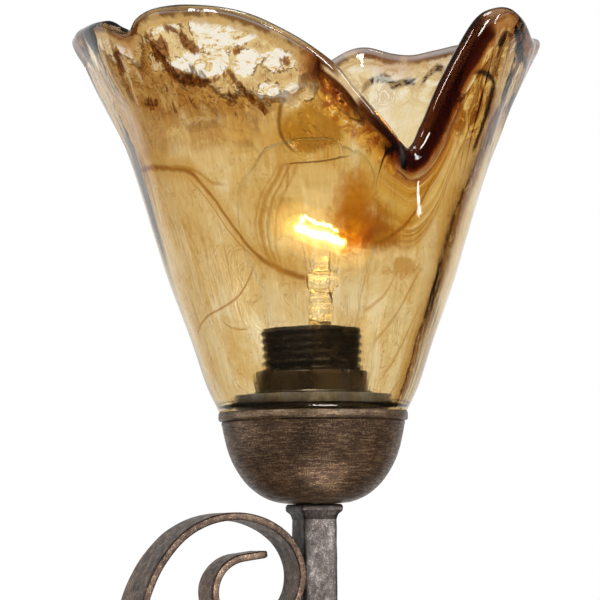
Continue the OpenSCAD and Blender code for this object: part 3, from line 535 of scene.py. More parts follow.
    # the colour lies in the outer skin: the inner face is almost clear, so that lines stay crisp
    outer_skin = n.mix(1.0, col, col, "MULTIPLY")
    inner_skin = paint(n.mix(n.span(cloud, 0.3, 0.7), (0.985, 0.965, 0.925), (0.96, 0.92, 0.84)), deep, (0.55, 0.22, 0.03), 0.9)
    inner_skin = paint(inner_skin, deep2, (0.16, 0.03, 0.005), 0.9)
    # the painted highlight strip stays near-white on the inner face too
    inner_skin = paint(inner_skin, painted_highlight_strip, (1.0, 0.98, 0.96), 0.9)
    n.link(n.mix(n.attr("face"), inner_skin, outer_skin), b.inputs["Base Color"])

    upper = n.span(mm, 88, 128)
    h = n.math("MULTIPLY_ADD", n.noise(flow, 60, 3, 0.5, 0.6), 1.0, n.math("MULTIPLY", s_fine, 0.10))
    h = n.math("MULTIPLY_ADD", n.math("MULTIPLY", upper, n.noise(pos, 48, 3, 0.5, 0.8)), 1.3, h)
    n.link(n.bump(h, 0.26, 0.0012), b.inputs["Normal"])
    va = n.add("ShaderNodeVolumeAbsorption")
    va.inputs["Color"].default_value = (0.80, 0.48, 0.16, 1)
    va.inputs["Density"].default_value = 14.0
    n.link(va.outputs[0], [x for x in n.t.nodes if x.type == "OUTPUT_MATERIAL"][0].inputs["Volume"])
    return m


M = {}
# one antique bronze finish in copies, each set darker, lighter or greyer to match how bright that part looks under the
# lamps: part of that difference is painted shade and painted sheen
M["bronze"] = bronze("bronze", gold=0.3)
M["bronze_cup"] = bronze("bronze_cup", stretch=(0.45, 0.45, 4.2), brush=0.66, gold=0.36, dark=0.66, rough=0.33)
M["bronze_bar"] = bronze("bronze_bar", stretch=(1.0, 1.0, 1.0), gold=0.60, brush=0.74, dark=1.25, rough=0.38, grey=0.25, bumps=0.36)
M["bronze_post"] = bronze("bronze_post", stretch=(1.2, 1.2, 0.8), gold=0.66, brush=0.50, dark=0.82, rough=0.34, grey=1.0, bumps=0.66)
M["phenolic"] = phenolic("phenolic")
# the disc and the ring are the same black phenolic as the holder: their lighter tints, grey-blue on the disc and warm
# on the ring, are painted reflections and highlights
M["phenolic_disc"] = phenolic("phenolic_disc", tint=(0.125, 0.135, 0.175), dust=0.05, rough=0.22)
M["phenolic_ring"] = phenolic("phenolic_ring", tint=(0.032, 0.026, 0.020), dust=0.12, rough=0.14, spec=1.0)
M["zinc_steel"] = metal("zinc_steel", (0.58, 0.57, 0.53), 0.32, stretch=(0.4, 1, 1))
M["brass"] = metal("brass", (0.72, 0.50, 0.19), 0.28)
M["nickel"] = metal("nickel", (0.66, 0.62, 0.55), 0.24)
M["solder"] = metal("solder", (0.55, 0.55, 0.56), 0.35)
M["tungsten_wire"] = metal("lead_wire", (0.20, 0.16, 0.13), 0.4, scale=3000)
M["rubber"] = plastic("black_rubber", (0.018, 0.018, 0.018), 0.62)
M["fibre"] = plastic("white_fibre", (0.72, 0.68, 0.58), 0.8, scale=1500)
M["black_glass"] = plastic("black_glass", (0.02, 0.02, 0.03), 0.12, bump=0.05)
M["wire_black"] = plastic("black_insulation", (0.02, 0.02, 0.02), 0.42)
M["wire_white"] = plastic("white_insulation", (0.78, 0.77, 0.72), 0.42)
M["wire_green"] = plastic("green_insulation", (0.05, 0.26, 0.07), 0.42)
M["green_screw"] = metal("green_screw", (0.06, 0.28, 0.08), 0.35, metallic=0.8)
M["orange"] = plastic("orange_plastic", (0.72, 0.20, 0.03), 0.4)
M["clear"] = clear_glass("clear_glass", 1.07)
M["clear_stem"] = clear_glass("stem_glass")


def stem_painted_glow():
    """Painted glow: emission in the stem glass's edges and in the wavy press stands in for the filament's light caught
    in the stem.
    """
    n = Nodes.__new__(Nodes)
    n.t = M["clear_stem"].node_tree
    b = [x for x in n.t.nodes if x.type == "BSDF_PRINCIPLED"][0]
    co = n.coord()
    a = n.noise(n.mapping(co, scale=(1, 1, 0.6)), 240, 4, 0.6, 1.2)
    w = n.math("ADD", n.span(n.math("ABSOLUTE", n.math("SUBTRACT", a, 0.5)), 0.024, 0.004), n.span(a, 0.64, 0.74))
    n.link(n.mix(w, (0.012, 0.006, 0.001), (1.0, 0.74, 0.30)), b.inputs["Emission Color"])
    b.inputs["Emission Strength"].default_value = 0.7


stem_painted_glow()
M["amber"] = amber_glass("amber_glass")


def glow():
    m, n, b = principled("filament_glow", Roughness=0.5)
    co = n.coord()
    n.link(n.mix(n.noise(co, 900, 2), (1.0, 0.62, 0.20), (1.0, 0.78, 0.36)), b.inputs["Emission Color"])
    b.inputs["Emission Strength"].default_value = 30.0
    b.inputs["Base Color"].default_value = (0.9, 0.6, 0.3, 1)
    return m


M["glow"] = glow()


# ------------------------------------------------------------------ mesh helpers
def to_object(name, verts, faces, material, body="root", replaces=(), smooth_deg=35.0, attrs=None):
    me = bpy.data.meshes.new(name)
    me.from_pydata([tuple(v) for v in verts], [], faces)
    me.update()
    ob = bpy.data.objects.new(name, me)
    bpy.context.scene.collection.objects.link(ob)
    bm = bmesh.new()
    bm.from_mesh(me)
    bmesh.ops.recalc_face_normals(bm, faces=bm.faces)
    lim = math.radians(smooth_deg)
    for f in bm.faces:
        f.smooth = True
    for e in bm.edges:
        if len(e.link_faces) == 2 and e.calc_face_angle(0.0) > lim:
            e.smooth = False
    bm.to_mesh(me)
    bm.free()
    for k, v in (attrs or {}).items():
        a = me.attributes.new(k, "FLOAT", "POINT")
        a.data.foreach_set("value", np.asarray(v, dtype=np.float32))
    me.materials.append(material)
    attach(ob, body)
    if replaces:
        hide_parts(*replaces)
    return ob


def lathe(name, prof, material, seg=128, body="root", replaces=(), centre=(0, YP, ZR), axis="z", closed=True, wobble=None, edge=None, smooth_deg=35.0):
    """Turns a closed profile of (radius, height) in mm round an axis. Points on the axis are merged."""
    verts, faces, ring, at = [], [], [], []
    for k, (r, z) in enumerate(prof):
        if r < 1e-6:
            ring.append([len(verts)] * seg)
            verts.append((0, 0, z))
            at.append(edge[k] if edge else 0.0)
        else:
            ids = []
            for i in range(seg):
                a = 2 * math.pi * i / seg
                rr = r + (wobble(a, z) if wobble else 0.0)
                ids.append(len(verts))
                verts.append((rr * math.cos(a), rr * math.sin(a), z))
                at.append(edge[k] if edge else 0.0)
            ring.append(ids)
    m = len(prof)
    for j in range(m if closed else m - 1):
        a, b = ring[j], ring[(j + 1) % m]
        for i in range(seg):
            k = (i + 1) % seg
            q = [a[i], a[k], b[k], b[i]]
            q = [x for n_, x in enumerate(q) if x not in q[:n_]]
            if len(q) >= 3:
                faces.append(q)
    out = []
    for x, y, z in verts:
        if axis == "z":
            out.append((centre[0] + x * MM, centre[1] + y * MM, centre[2] + z * MM))
        else:  # +height points into the room, along -Y
            out.append((centre[0] + x * MM, centre[1] - z * MM, centre[2] + y * MM))
    return to_object(name, out, faces, material, body, replaces, smooth_deg, {"edge": at})


def spline(pts, n=8, closed=False):
    """Catmull-Rom through 2D or 3D points."""
    p = [np.array(q, float) for q in pts]
    out = []
    cnt = len(p) if closed else len(p) - 1
    for i in range(cnt):
        if closed:
            a, b, c, d = p[i - 1], p[i], p[(i + 1) % len(p)], p[(i + 2) % len(p)]
        else:
            a, b, c, d = p[max(0, i - 1)], p[i], p[i + 1], p[min(len(p) - 1, i + 2)]
        for k in range(n):
            t = k / n
            out.append(0.5 * ((2 * b) + (-a + c) * t + (2 * a - 5 * b + 4 * c - d) * t * t + (-a + 3 * b - 3 * c + d) * t ** 3))
    if not closed:
        out.append(p[-1])
    return out


def rnd(x, y, z, f=1.0):
    return noise.noise(Vector((x * f, y * f, z * f)))


def tube(name, pts, radius, material, body="root", replaces=(), sides=12, cap=True, radii=None):
    pts = [Vector(p) for p in pts]
    n = len(pts)
    tang = [(pts[min(n - 1, i + 1)] - pts[max(0, i - 1)]).normalized() for i in range(n)]
    ref = Vector((0, 0, 1)) if abs(tang[0].z) < 0.9 else Vector((1, 0, 0))
    nrm = (ref - tang[0] * ref.dot(tang[0])).normalized()
    verts, faces = [], []
    for i in range(n):
        nrm = (nrm - tang[i] * nrm.dot(tang[i])).normalized()
        bi = tang[i].cross(nrm)
        r = radii[i] if radii else radius
        for k in range(sides):
            a = 2 * math.pi * k / sides
            verts.append(pts[i] + (nrm * math.cos(a) + bi * math.sin(a)) * r)
    for i in range(n - 1):
        for k in range(sides):
            l = (k + 1) % sides
            faces.append([i * sides + k, i * sides + l, (i + 1) * sides + l, (i + 1) * sides + k])
    if cap:
        faces.append(list(range(sides))[::-1])
        faces.append([(n - 1) * sides + k for k in range(sides)])
    return to_object(name, verts, faces, material, body, replaces, 50, None)


# ------------------------------------------------------------------ glass shade
FLARE = [(-6, 36.0), (0, 36.9), (7, 40.2), (11, 42.0), (17, 44.1), (29, 48.0), (39, 51.7), (53, 56.8), (66, 60.8), (75, 63.6), (83, 66.0), (100, 71.6), (118, 78.5), (133, 85.5), (143, 90), (150, 92.5), (160, 95), (168, 97)]
RIM = [(180, 151.5), (190, 151), (200, 150), (207, 149.3), (213, 148.0), (217, 144.8), (220.5, 143.2), (224, 146.6), (229, 149.0), (236, 149.2), (244, 148.0), (251, 145.9),
       (257, 143.0), (263, 138.7), (268, 134.6), (273, 129.8), (278, 124.6), (283, 117.5), (288, 111.5), (294, 106), (300, 101.5), (306, 99), (310, 98.5), (313.5, 101), (315.8, 107),
       (317, 115), (318, 124), (319, 134), (320.5, 143.4), (323, 149.2), (327, 152.0), (331, 152.4), (336, 150.6), (343, 148.0), (350, 146), (358, 147.5), (368, 150), (380, 152.5),
       (394, 154.5), (406, 156.8), (414, 156), (421, 155), (427, 156.5), (434, 160), (439, 159.5), (444, 155.5), (449, 149.5), (455, 142.5), (461, 141), (468, 142.8), (476, 144.5),
       (484, 147), (492, 151), (502, 152.5), (513, 151), (525, 150.5), (533, 151.3)]
KX = 1.4  # mm per degree, in the flat map of the glass


def smooth_step(x, a, b):
    t = np.clip((x - a) / (b - a), 0, 1)
    return t * t * (3 - 2 * t)


def wrap(a):
    return (a + 180.0) % 360.0 - 180.0


FX = np.array([p[0] for p in FLARE], float)
FY = np.array([p[1] for p in FLARE], float)
_fine = np.array(spline(FLARE, 12))
FX2, FY2 = _fine[:, 0], _fine[:, 1]


def radius_mid(a, h):
    """Radius of the wall's outer face, in mm, at angle a (degrees) and height h (mm)."""
    r = np.interp(h, FX2, FY2)
    r = r - 13.0 * np.exp(-(wrap(a - 312) / 15.0) ** 2) * np.clip(h / 105.0, 0, 1) ** 2.5
    up = smooth_step(h, 60, 150)
    # soft lobes and the blower's flutes near the rim
    r = r + up * (0.9 * np.sin(np.radians(a * 5 + 40)) + 0.5 * np.sin(np.radians(a * 9 + 10)))
    r = r + smooth_step(h, 105, 150) * 0.55 * np.sin(np.radians(a * 23 + 25 * np.sin(np.radians(a * 2)))) * (0.5 + 0.5 * np.sin(np.radians(a * 3 + 30)))
    r = r + 1.9 * np.exp(-(wrap(a - 181) / 14.0) ** 2) * smooth_step(h, 104, 132)
    r = r - 1.2 * np.exp(-(wrap(a - 357) / 14.0) ** 2) * smooth_step(h, 124, 148)
    # the uneven, hand-worked band under the rim
    band = smooth_step(h, 96, 122) * (1 - 0.6 * smooth_step(h, 140, 150))
    r = r + band * (0.34 * np.sin(np.radians(a * 14.3 + 6.1 * h + 40 * np.sin(np.radians(a * 3)))) + 0.30 * np.sin(np.radians(a * 9.7 - 9.3 * h + 60)) + 0.16 * np.sin(np.radians(a * 31 + 4.7 * h)))
    return r


CREAM = [[(240.6, 140), (241.5, 143.2), (244, 143.8), (246, 141.3), (250, 140.8), (256, 138.2), (257.4, 136.2), (254, 134.6), (249, 133.6), (244, 132.6), (241.2, 132.8), (241.4, 136)],
         [(231, 128), (232.5, 131.5), (238, 132.2), (244, 131.2), (248, 132.2), (250, 130.5), (249, 128), (247, 125.6), (244, 123.6), (240, 123.4), (236, 126), (233, 127)],
         [(250.2, 127.5), (252, 131), (256, 131), (257, 127.5), (254.6, 124.2), (252.2, 122), (250.4, 124)],
         [(258, 129.5), (262, 131.5), (266, 129.5), (265.5, 125.5), (261, 124.2), (258, 126)],
         [(262, 113), (261.5, 117), (265, 118.6), (270, 119.4), (273, 118.2), (271, 115.2), (268, 113), (265, 112)],
         [(256, 115), (256.5, 118.5), (261, 118.8), (261, 115.5)], [(225.5, 127.5), (226, 133.5), (228, 132), (229.2, 128)], [(228, 140.2), (230, 143.2), (236, 143.4), (238, 141.4), (234, 140.4)],
         [(276, 112), (275.5, 117), (278.5, 118), (279.4, 113)], [(214.5, 129), (213.5, 136), (215, 141), (217.6, 138), (218, 131)]]
CHEST = [[(233, 143.8), (236, 143), (239, 138.5), (241.6, 132.6), (239.8, 131.6), (236.5, 134.5), (235.4, 138.5), (233, 141)],
         [(226.6, 131), (226.8, 138.6), (231, 139.2), (232.2, 136), (231.4, 131.5), (229, 130)],
         [(229.5, 129), (232, 128.2), (234, 126.2), (236.5, 125.2), (240, 122.8), (244, 122.8), (247, 124.8), (247.6, 123.2), (243, 121.4), (240, 119.5), (236, 120.5), (232.6, 122.5), (230, 126)],
         [(247.4, 125.4), (249, 125.6), (252, 119.6), (255, 113.6), (258, 109.5), (256.4, 109.3), (253, 113.4), (250, 119)], [(245.8, 115.4), (247.4, 118.2), (248, 116.2), (246.8, 114.6)],
         [(216, 116.5), (218.5, 118.6), (223, 117.6), (222, 115.2), (218, 114.4)], [(217.5, 142.5), (221, 146), (224.4, 144.2), (222.5, 140.4), (220, 138.5)],
         [(211.6, 129), (212, 138), (214.2, 138.5), (214.6, 133), (213.4, 129)], [(250, 131.6), (253, 133.2), (252.4, 130.8), (250.6, 130)], [(270.5, 124.5), (274, 126.4), (276, 124.0), (273, 122.2)],
         [(262, 128), (264.4, 129), (265.4, 126), (263.6, 125.4)], [(224.2, 139.8), (226.4, 142.2), (228.6, 140.4), (226.8, 138.2)]]


def inside_distance(a, h, shapes):
    """Distance in mm to the nearest outline, over 0 inside a shape. a and h are in degrees and mm."""
    best = np.full(a.shape, -99.0)
    for sh in shapes:
        c = sum(p[0] for p in sh) / len(sh)
        x = wrap(a - c) * KX
        q = [((p[0] - c) * KX, p[1]) for p in sh]
        d = np.full(a.shape, 1e9)
        odd = np.zeros(a.shape, bool)
        for (x0, y0), (x1, y1) in zip(q, q[1:] + q[:1]):
            ex, ey = x1 - x0, y1 - y0
            t = np.clip(((x - x0) * ex + (h - y0) * ey) / (ex * ex + ey * ey), 0, 1)
            d = np.minimum(d, np.hypot(x - x0 - t * ex, h - y0 - t * ey))
            hit = (y0 > h) != (y1 > h)
            odd ^= hit & (x < ex * (h - y0) / (ey if abs(ey) > 1e-9 else 1e-9) + x0)
        best = np.maximum(best, np.where(odd, d, -d))
    return best


def glass():
    t0 = 4.0
    rim = np.array(spline(RIM + [(540, 151.5)], 24))
    X, Y = rim[:, 0] * KX, rim[:, 1]
    seg = np.hypot(np.diff(X), np.diff(Y))
    s = np.concatenate([[0], np.cumsum(seg)])
    N = 560
    u = np.linspace(0, s[-1], N, endpoint=False)
    gx, gy = np.interp(u, s, X), np.interp(u, s, Y)
    # rim tangent and its normal that points down into the glass
    gx2 = np.concatenate([[gx[-1] - 360 * KX], gx, [gx[0] + 360 * KX]])
    gy2 = np.concatenate([[gy[-1]], gy, [gy[0]]])
    tx, ty = gx2[2:] - gx2[:-2], gy2[2:] - gy2[:-2]
    for _ in range(3):
        tx = (np.roll(tx, 1) + 2 * tx + np.roll(tx, -1)) / 4
        ty = (np.roll(ty, 1) + 2 * ty + np.roll(ty, -1)) / 4
    L = np.hypot(tx, ty)
    nx, ny = ty / L, -tx / L
    ang_top = gx / KX
    ang_bot = 0.45 * ang_top + 0.55 * (180 + 360 * u / s[-1])
    # bead radius and darkness round the rim
    a = ang_top % 360
    def lump(c, w):
        return np.exp(-(wrap(a - c) / w) ** 2)
    band = lambda lo, hi, e: smooth_step(a, lo - e, lo + e) * (1 - smooth_step(a, hi - e, hi + e))
    dark = np.clip(0.72 * band(270, 286, 3) + 0.66 * band(286, 299, 3) + band(299, 323, 3) + 0.50 * band(323, 349, 3) + 0.80 * lump(183, 6) + 0.35 * lump(219, 2.5) + 0.7 * band(351, 360, 3) + 0.25 * lump(66, 12) + 0.2 * lump(140, 9), 0, 1)
    rb = 2.3 + 0.5 * band(280, 300, 8) + 1.5 * band(309, 327, 4) + 1.1 * lump(183, 9) + 0.6 * lump(352, 8) + 0.3 * lump(66, 20)
    rb = rb * (1 + 0.06 * np.sin(np.radians(a * 17)))
    rows = 112
    w = np.linspace(0, 1, rows)
    w = 1 - (1 - w) ** 1.35     # finer near the rim
    B0x, B0y = ang_bot * KX, np.full(N, 0.8)
    endx, endy = gx + nx * rb, gy + ny * rb          # centre line stops a bead radius short
    hgt = endy - B0y
    P1x, P1y = B0x + 0.15 * (endx - B0x), B0y + 0.38 * hgt
    d2 = np.minimum(0.26 * hgt, 22)
    P2x, P2y = endx + nx * d2, endy + ny * d2
    W = w[:, None]
    cx = (1 - W) ** 3 * B0x + 3 * (1 - W) ** 2 * W * P1x + 3 * (1 - W) * W ** 2 * P2x + W ** 3 * endx
    cy = (1 - W) ** 3 * B0y + 3 * (1 - W) ** 2 * W * P1y + 3 * (1 - W) * W ** 2 * P2y + W ** 3 * endy
    A, H = cx / KX, cy
    dl = np.hypot(np.diff(cx, axis=0), np.diff(cy, axis=0))
    rest = np.concatenate([np.cumsum(dl[::-1], axis=0)[::-1], np.zeros((1, N))])   # distance to the rim's centre

    def point(A, H):
        r = radius_mid(A, H) - 0.535 * t0
        th = np.radians(A + PHI)
        return np.stack([r * np.cos(th), r * np.sin(th), H], axis=-1)

    e = 0.05
    C = point(A, H)
    da = point(A + e, H) - point(A - e, H)
    dh = point(A, H + e) - point(A, H - e)
    nrm = np.cross(da, dh)
    nrm /= np.linalg.norm(nrm, axis=-1, keepdims=True)
    # wall thickness: thin at mid height, waves in it, and the bead at the rim
    wob = 0.35 * np.sin(np.radians(A * 7 + 3.2 * H)) + 0.25 * np.sin(np.radians(A * 13 - 2.1 * H + 40)) + 0.2 * np.sin(np.radians(A * 29 + 1.1 * H))
    half = t0 / 2 + 0.5 * wob * smooth_step(H, 5, 40) * 0.5
    bead_in = 1 - smooth_step(rest, 0.2 * rb, 3.2 * rb)
    half = half + (rb - half) * bead_in
    outer = C + nrm * half[..., None]
    inner = C - nrm * half[..., None]
    # cap of the bead
    tdir = C[-1] - C[-3]
    tdir = tdir - nrm[-1] * np.sum(tdir * nrm[-1], axis=-1, keepdims=True)
    tdir /= np.linalg.norm(tdir, axis=-1, keepdims=True)
    caps = []
    K = 12
    for k in range(1, K):
        th = math.pi * k / K
        caps.append(C[-1] + half[-1][:, None] * (math.cos(th) * nrm[-1] + math.sin(th) * tdir))
    # foot: floor of the glass with the hole for the holder
    th0 = np.radians(A[0] + PHI)
    def ringed(r, z):
        return np.stack([r * np.cos(th0), r * np.sin(th0), np.full(N, z)], axis=-1)
    foot_out = [ringed(21.2, 0.4), ringed(21.2, -2.6), ringed(21.6, -3.0), ringed(33.4, -3.0), ringed(34.3, -2.4), ringed(34.8, -1.2), ringed(35.1, -0.3), ringed(35.9, 0.25)]
    foot_in = [ringed(32.0, 2.0), ringed(31.2, 1.1), ringed(30.2, 0.8), ringed(21.6, 0.8)]
    face = [1.0] * (len(foot_out) + rows) + [1.0 - k / K for k in range(1, K)] + [0.0] * (rows - 1 + len(foot_in))
    layers = foot_out + [outer[i] for i in range(rows)] + caps + [inner[i] for i in range(rows - 1, 0, -1)] + foot_in
    hh = [np.full(N, -2.0)] * len(foot_out) + [H[i] for i in range(rows)] + [H[-1]] * len(caps) + [H[i] for i in range(rows - 1, 0, -1)] + [np.full(N, 0.5)] * len(foot_in)
    aa = [A[0]] * len(foot_out) + [A[i] for i in range(rows)] + [A[-1]] * len(caps) + [A[i] for i in range(rows - 1, 0, -1)] + [A[0]] * len(foot_in)
    rr = [rest[0]] * len(foot_out) + [rest[i] for i in range(rows)] + [rest[-1]] * len(caps) + [rest[i] for i in range(rows - 1, 0, -1)] + [rest[0]] * len(foot_in)
    V = np.concatenate(layers) * MM
    V[:, 1] += YP
    V[:, 2] += ZR
    m = len(layers)
    faces = []
    for j in range(m):
        k = (j + 1) % m
        for i in range(N):
            l = (i + 1) % N
            faces.append((j * N + i, j * N + l, k * N + l, k * N + i))
    HH, AA = np.concatenate(hh), np.concatenate(aa)
    RR = np.concatenate(rr) * MM
    me = bpy.data.meshes.new("glass_shade_blown")
    me.from_pydata(V.tolist(), [], faces)
    me.update()
    me.polygons.foreach_set("use_smooth", [True] * len(me.polygons))
    uv = me.uv_layers.new(name="glass")
    # angle per face corner, so that the seam doesn't smear
    vi = np.empty(len(me.loops), dtype=np.int32)
    me.loops.foreach_get("vertex_index", vi)
    au = AA[vi].copy().reshape(-1, 4)
    base = au[:, :1]
    au = base + wrap(au - base)
    au = au - 360.0 * np.floor(np.min(au, axis=1, keepdims=True) / 360.0)
    uvs = np.stack([au.reshape(-1) / 360.0, np.clip(HH[vi], 0, 170) / 170.0], axis=-1)
    uv.data.foreach_set("uv", uvs.astype(np.float32).reshape(-1))
    def put(name, v):
        at = me.attributes.new(name, "FLOAT", "POINT")
        at.data.foreach_set("value", np.asarray(v, dtype=np.float32))
    put("rim", RR)
    put("bead", np.tile(dark, m))
    put("face", np.repeat(np.array(face), N))
    # flow: round the axis, with the height squeezed so that noise runs in streaks, and turned a little with height
    tw = np.radians(AA + PHI + 10.0 * np.sin(np.radians(AA - 240)) * (HH / 100.0) + 7.0 * smooth_step(HH, 30, 100) * np.exp(-(wrap(AA - 335) / 40.0) ** 2))
    fl = np.stack([0.06 * np.cos(tw), 0.06 * np.sin(tw), HH * MM * 0.16], axis=-1)
    at = me.attributes.new("flow", "FLOAT_VECTOR", "POINT")
    at.data.foreach_set("vector", fl.astype(np.float32).reshape(-1))
    # torn clear windows and chestnut patches on the front lobe, and again on two other lobes
    am = AA % 360.0
    rim_at = lambda q: np.interp(q % 360.0, np.sort(ang_top % 360.0), gy[np.argsort(ang_top % 360.0)])
    cream, chest = inside_distance(am, HH, CREAM), inside_distance(am, HH, CHEST)
    for turn in (-107.0, 131.0):
        back = (am - turn) % 360.0
        hb = HH - np.clip(rim_at(am) - rim_at(back), -8, 14) * smooth_step(HH, 70, 130)
        cream = np.maximum(cream, inside_distance(back, hb, CREAM))
        chest = np.maximum(chest, inside_distance(back, hb, CHEST))
    put("cream", cream)
    put("chest", chest)
    lo = lambda q: 111 + 6 * np.sin(np.radians(q * 4 + 20)) + 3 * np.sin(np.radians(q * 11))
    span_front = smooth_step(am, 204, 212) * (1 - smooth_step(am, 270, 282))
    span_a = smooth_step(am, 98, 108) * (1 - smooth_step(am, 164, 176))
    span_b = 1 - smooth_step(np.abs(wrap(am - 20)), 26, 36)
    put("skin", np.maximum(np.maximum(span_front, span_a), span_b * 0.9) * smooth_step(HH, lo(am), lo(am) + 7))
    # arcs parallel to the rim round the pinch
    along = np.tile(u, m) * 0.055
    arc = np.stack([RR, along * MM, np.zeros_like(RR)], axis=-1)
    at = me.attributes.new("arc", "FLOAT_VECTOR", "POINT")
    at.data.foreach_set("vector", arc.astype(np.float32).reshape(-1))
    top_at = np.tile(ang_top % 360.0, m)
    put("arcm", smooth_step(top_at, 294, 303) * (1 - smooth_step(top_at, 320.5, 324)) * (1 - smooth_step(RR, 0.030, 0.042)))
    me.materials.append(M["amber"])
    ob = bpy.data.objects.new("glass_shade_blown", me)
    bpy.context.scene.collection.objects.link(ob)
    bm = bmesh.new()
    bm.from_mesh(me)
    bmesh.ops.recalc_face_normals(bm, faces=bm.faces)
    bm.to_mesh(me)
    bm.free()
    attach(ob, "root")
    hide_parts("glass_shade")
    return ob


glass()

# ------------------------------------------------------------------ cup
CUP = [(8.4, -35.9), (14.6, -35.2), (20.2, -33.0), (24.8, -29.6), (28.2, -25.8), (31.6, -20.2), (33.8, -14.6), (35.15, -9.1), (35.9, -5.2)]
cup_out = [tuple(p) for p in spline(CUP, 6)]
prof = [(5, -35.9)] + cup_out + [(36.15, -4.5), (36.2, -4.1), (35.8, -3.75), (36.1, -3.4), (36.9, -3.2), (37.2, -2.9), (37.3, -2.4), (37.3, -0.5), (37.2, -0.15), (36.9, 0), (35.5, 0), (35.15, -0.3), (35.1, -4.6), (33.3, -4.6)]
prof += [(r - 2.0, z + 0.9 + 0.02 * (z + 20)) for r, z in [(33.8, -14.6), (31.6, -20.2), (28.2, -25.8), (24.8, -29.6), (20.2, -32.6)]] + [(5, -33.4)]
edge = [0.0] * len(prof)
for i, (r, z) in enumerate(prof):
    # the rim's top gets light worn colour: rubbed paint, which also stands in for the highlight along the rim (painted
    # highlight)
    if r > 36.7 and z > -3.3:
        edge[i] = 0.16
    if r < 36.2 and -4.2 < z < -3.3 and r > 35.6:
        edge[i] = 0.0
lathe("cup_spun", prof, M["bronze_cup"], 160, replaces=("cup",), edge=edge,
      wobble=lambda a, z: 0.05 * rnd(math.cos(a) * 3, math.sin(a) * 3, z * 0.15), smooth_deg=50)


# ------------------------------------------------------------------ square collar and post
def square_loft(name, secs, material, replaces, edge_fn=None, corner=8, sidecut=10, amp=0.0, seed=0.0):
    """Lofts rounded squares. secs are (half width, corner radius, z) in mm."""
    verts, at = [], []
    per = None
    for hw, cr, z in secs:
        ring = []
        c = hw - cr
        for q, (sx, sy) in enumerate(((1, 1), (-1, 1), (-1, -1), (1, -1))):
            a0 = q * math.pi / 2
            for k in range(corner + 1):
                a = a0 + (math.pi / 2) * k / corner
                ring.append((sx * c + cr * math.cos(a), sy * c + cr * math.sin(a), 1.0))
            nx_, ny_ = ((-1, 1), (-1, -1), (1, -1), (1, 1))[q]
            x0, y0 = ring[-1][0], ring[-1][1]
            nq = (q + 1) % 4
            a1 = nq * math.pi / 2
            x1, y1 = nx_ * c + cr * math.cos(a1), ny_ * c + cr * math.sin(a1)
            for k in range(1, sidecut):
                f = k / sidecut
                ring.append((x0 + (x1 - x0) * f, y0 + (y1 - y0) * f, 0.0))
        per = len(ring)
        for x, y, e in ring:
            d = 0.0
            if amp:
                d = amp * (rnd(x * 0.16 + seed, y * 0.16, z * 0.13) + 0.5 * rnd(x * 0.4, y * 0.4 + seed, z * 0.33))
            L = math.hypot(x, y)
            verts.append(((x + x / L * d) * MM, YP + (y + y / L * d) * MM, ZR + z * MM))
            at.append(-0.55 * e if edge_fn is None else edge_fn(e, x, y, z))
    faces = []
    for j in range(len(secs) - 1):
        for i in range(per):
            k = (i + 1) % per
            faces.append([j * per + i, j * per + k, (j + 1) * per + k, (j + 1) * per + i])
    faces.append([i for i in range(per)][::-1])
    faces.append([(len(secs) - 1) * per + i for i in range(per)])
    return to_object(name, verts, faces, material, "root", replaces, 40, {"edge": at})


top, bot = -42.0, -164.1
secs = [(6.6, 0.6, bot), (6.95, 1.0, bot + 0.5)]
z = bot + 1.5
while z < top:
    secs.append((7.0, 1.25, z))
    z += 1.4
secs.append((7.0, 1.25, top))
square_loft("post_hammered", secs, M["bronze_post"], ("post",), amp=0.22, corner=6, sidecut=9)
secs = [(6.3, 1.2, -42.2), (7.05, 1.3, -41.9), (7.2, 1.3, -41.0), (7.5, 1.3, -40.1), (8.0, 1.3, -39.5), (8.35, 1.1, -39.1), (8.65, 1.0, -38.7), (8.8, 1.0, -38.2), (8.85, 1.0, -37.3),
        (8.75, 1.0, -36.8), (8.5, 0.9, -36.35), (8.1, 0.8, -36.0), (5.6, 0.5, -35.93)]
# collar: the band round its widest part gets light worn colour, which also stands in for the highlight along that edge
# (painted highlight); the top bevel right under the cup and the corners below run dark
square_loft("collar_square", secs, M["bronze_post"], ("post_collar",), amp=0.10, corner=6, sidecut=8, seed=4.0,
            edge_fn=lambda e, x, y, z: -0.85 if z > -36.9 else (0.20 if -38.4 < z < -37.6 else -0.60 - 0.3 * e))

# ------------------------------------------------------------------ scroll
BAR_START = [-21.6, -55.2, 188.0, 15.0]
BAR = [(0, 10, 10, 15.5), (13.5, 85, 22, 16), (14.5, 90, 24, 16.2), (20.5, 90, 30, 16.8), (21.2, 45, 16, 18.5), (29.5, 45, 20, 20.5), (34, 45, 24, 23), (54, 35, 24, 26.5), (78, 57, 44, 30),
       (64, 40, 28, 30), (0, 25, 16, 28), (23.7, 90, 32, 24), (19.2, 90, 26, 20), (14.5, 90, 22, 17), (11, 80, 18, 15)]


def bar_path():
    x, y, a, w = BAR_START
    out = [(x, y, a, w)]
    for R, sw, n, w2 in BAR:
        x0, y0, a0, w0 = x, y, a, w
        for k in range(1, n + 1):
            f = k / n
            w = w0 + (w2 - w0) * f
            if R == 0:
                x, y = x0 + math.cos(math.radians(a0)) * sw * f, y0 + math.sin(math.radians(a0)) * sw * f
            else:
                a = a0 + sw * f
                x = x0 + R * (math.sin(math.radians(a)) - math.sin(math.radians(a0)))
                y = y0 + R * (math.cos(math.radians(a0)) - math.cos(math.radians(a)))
            out.append((x, y, a, w))
    return [(-8.5 + (x + 8.5) * 1.045, y, a, w) for x, y, a, w in out]


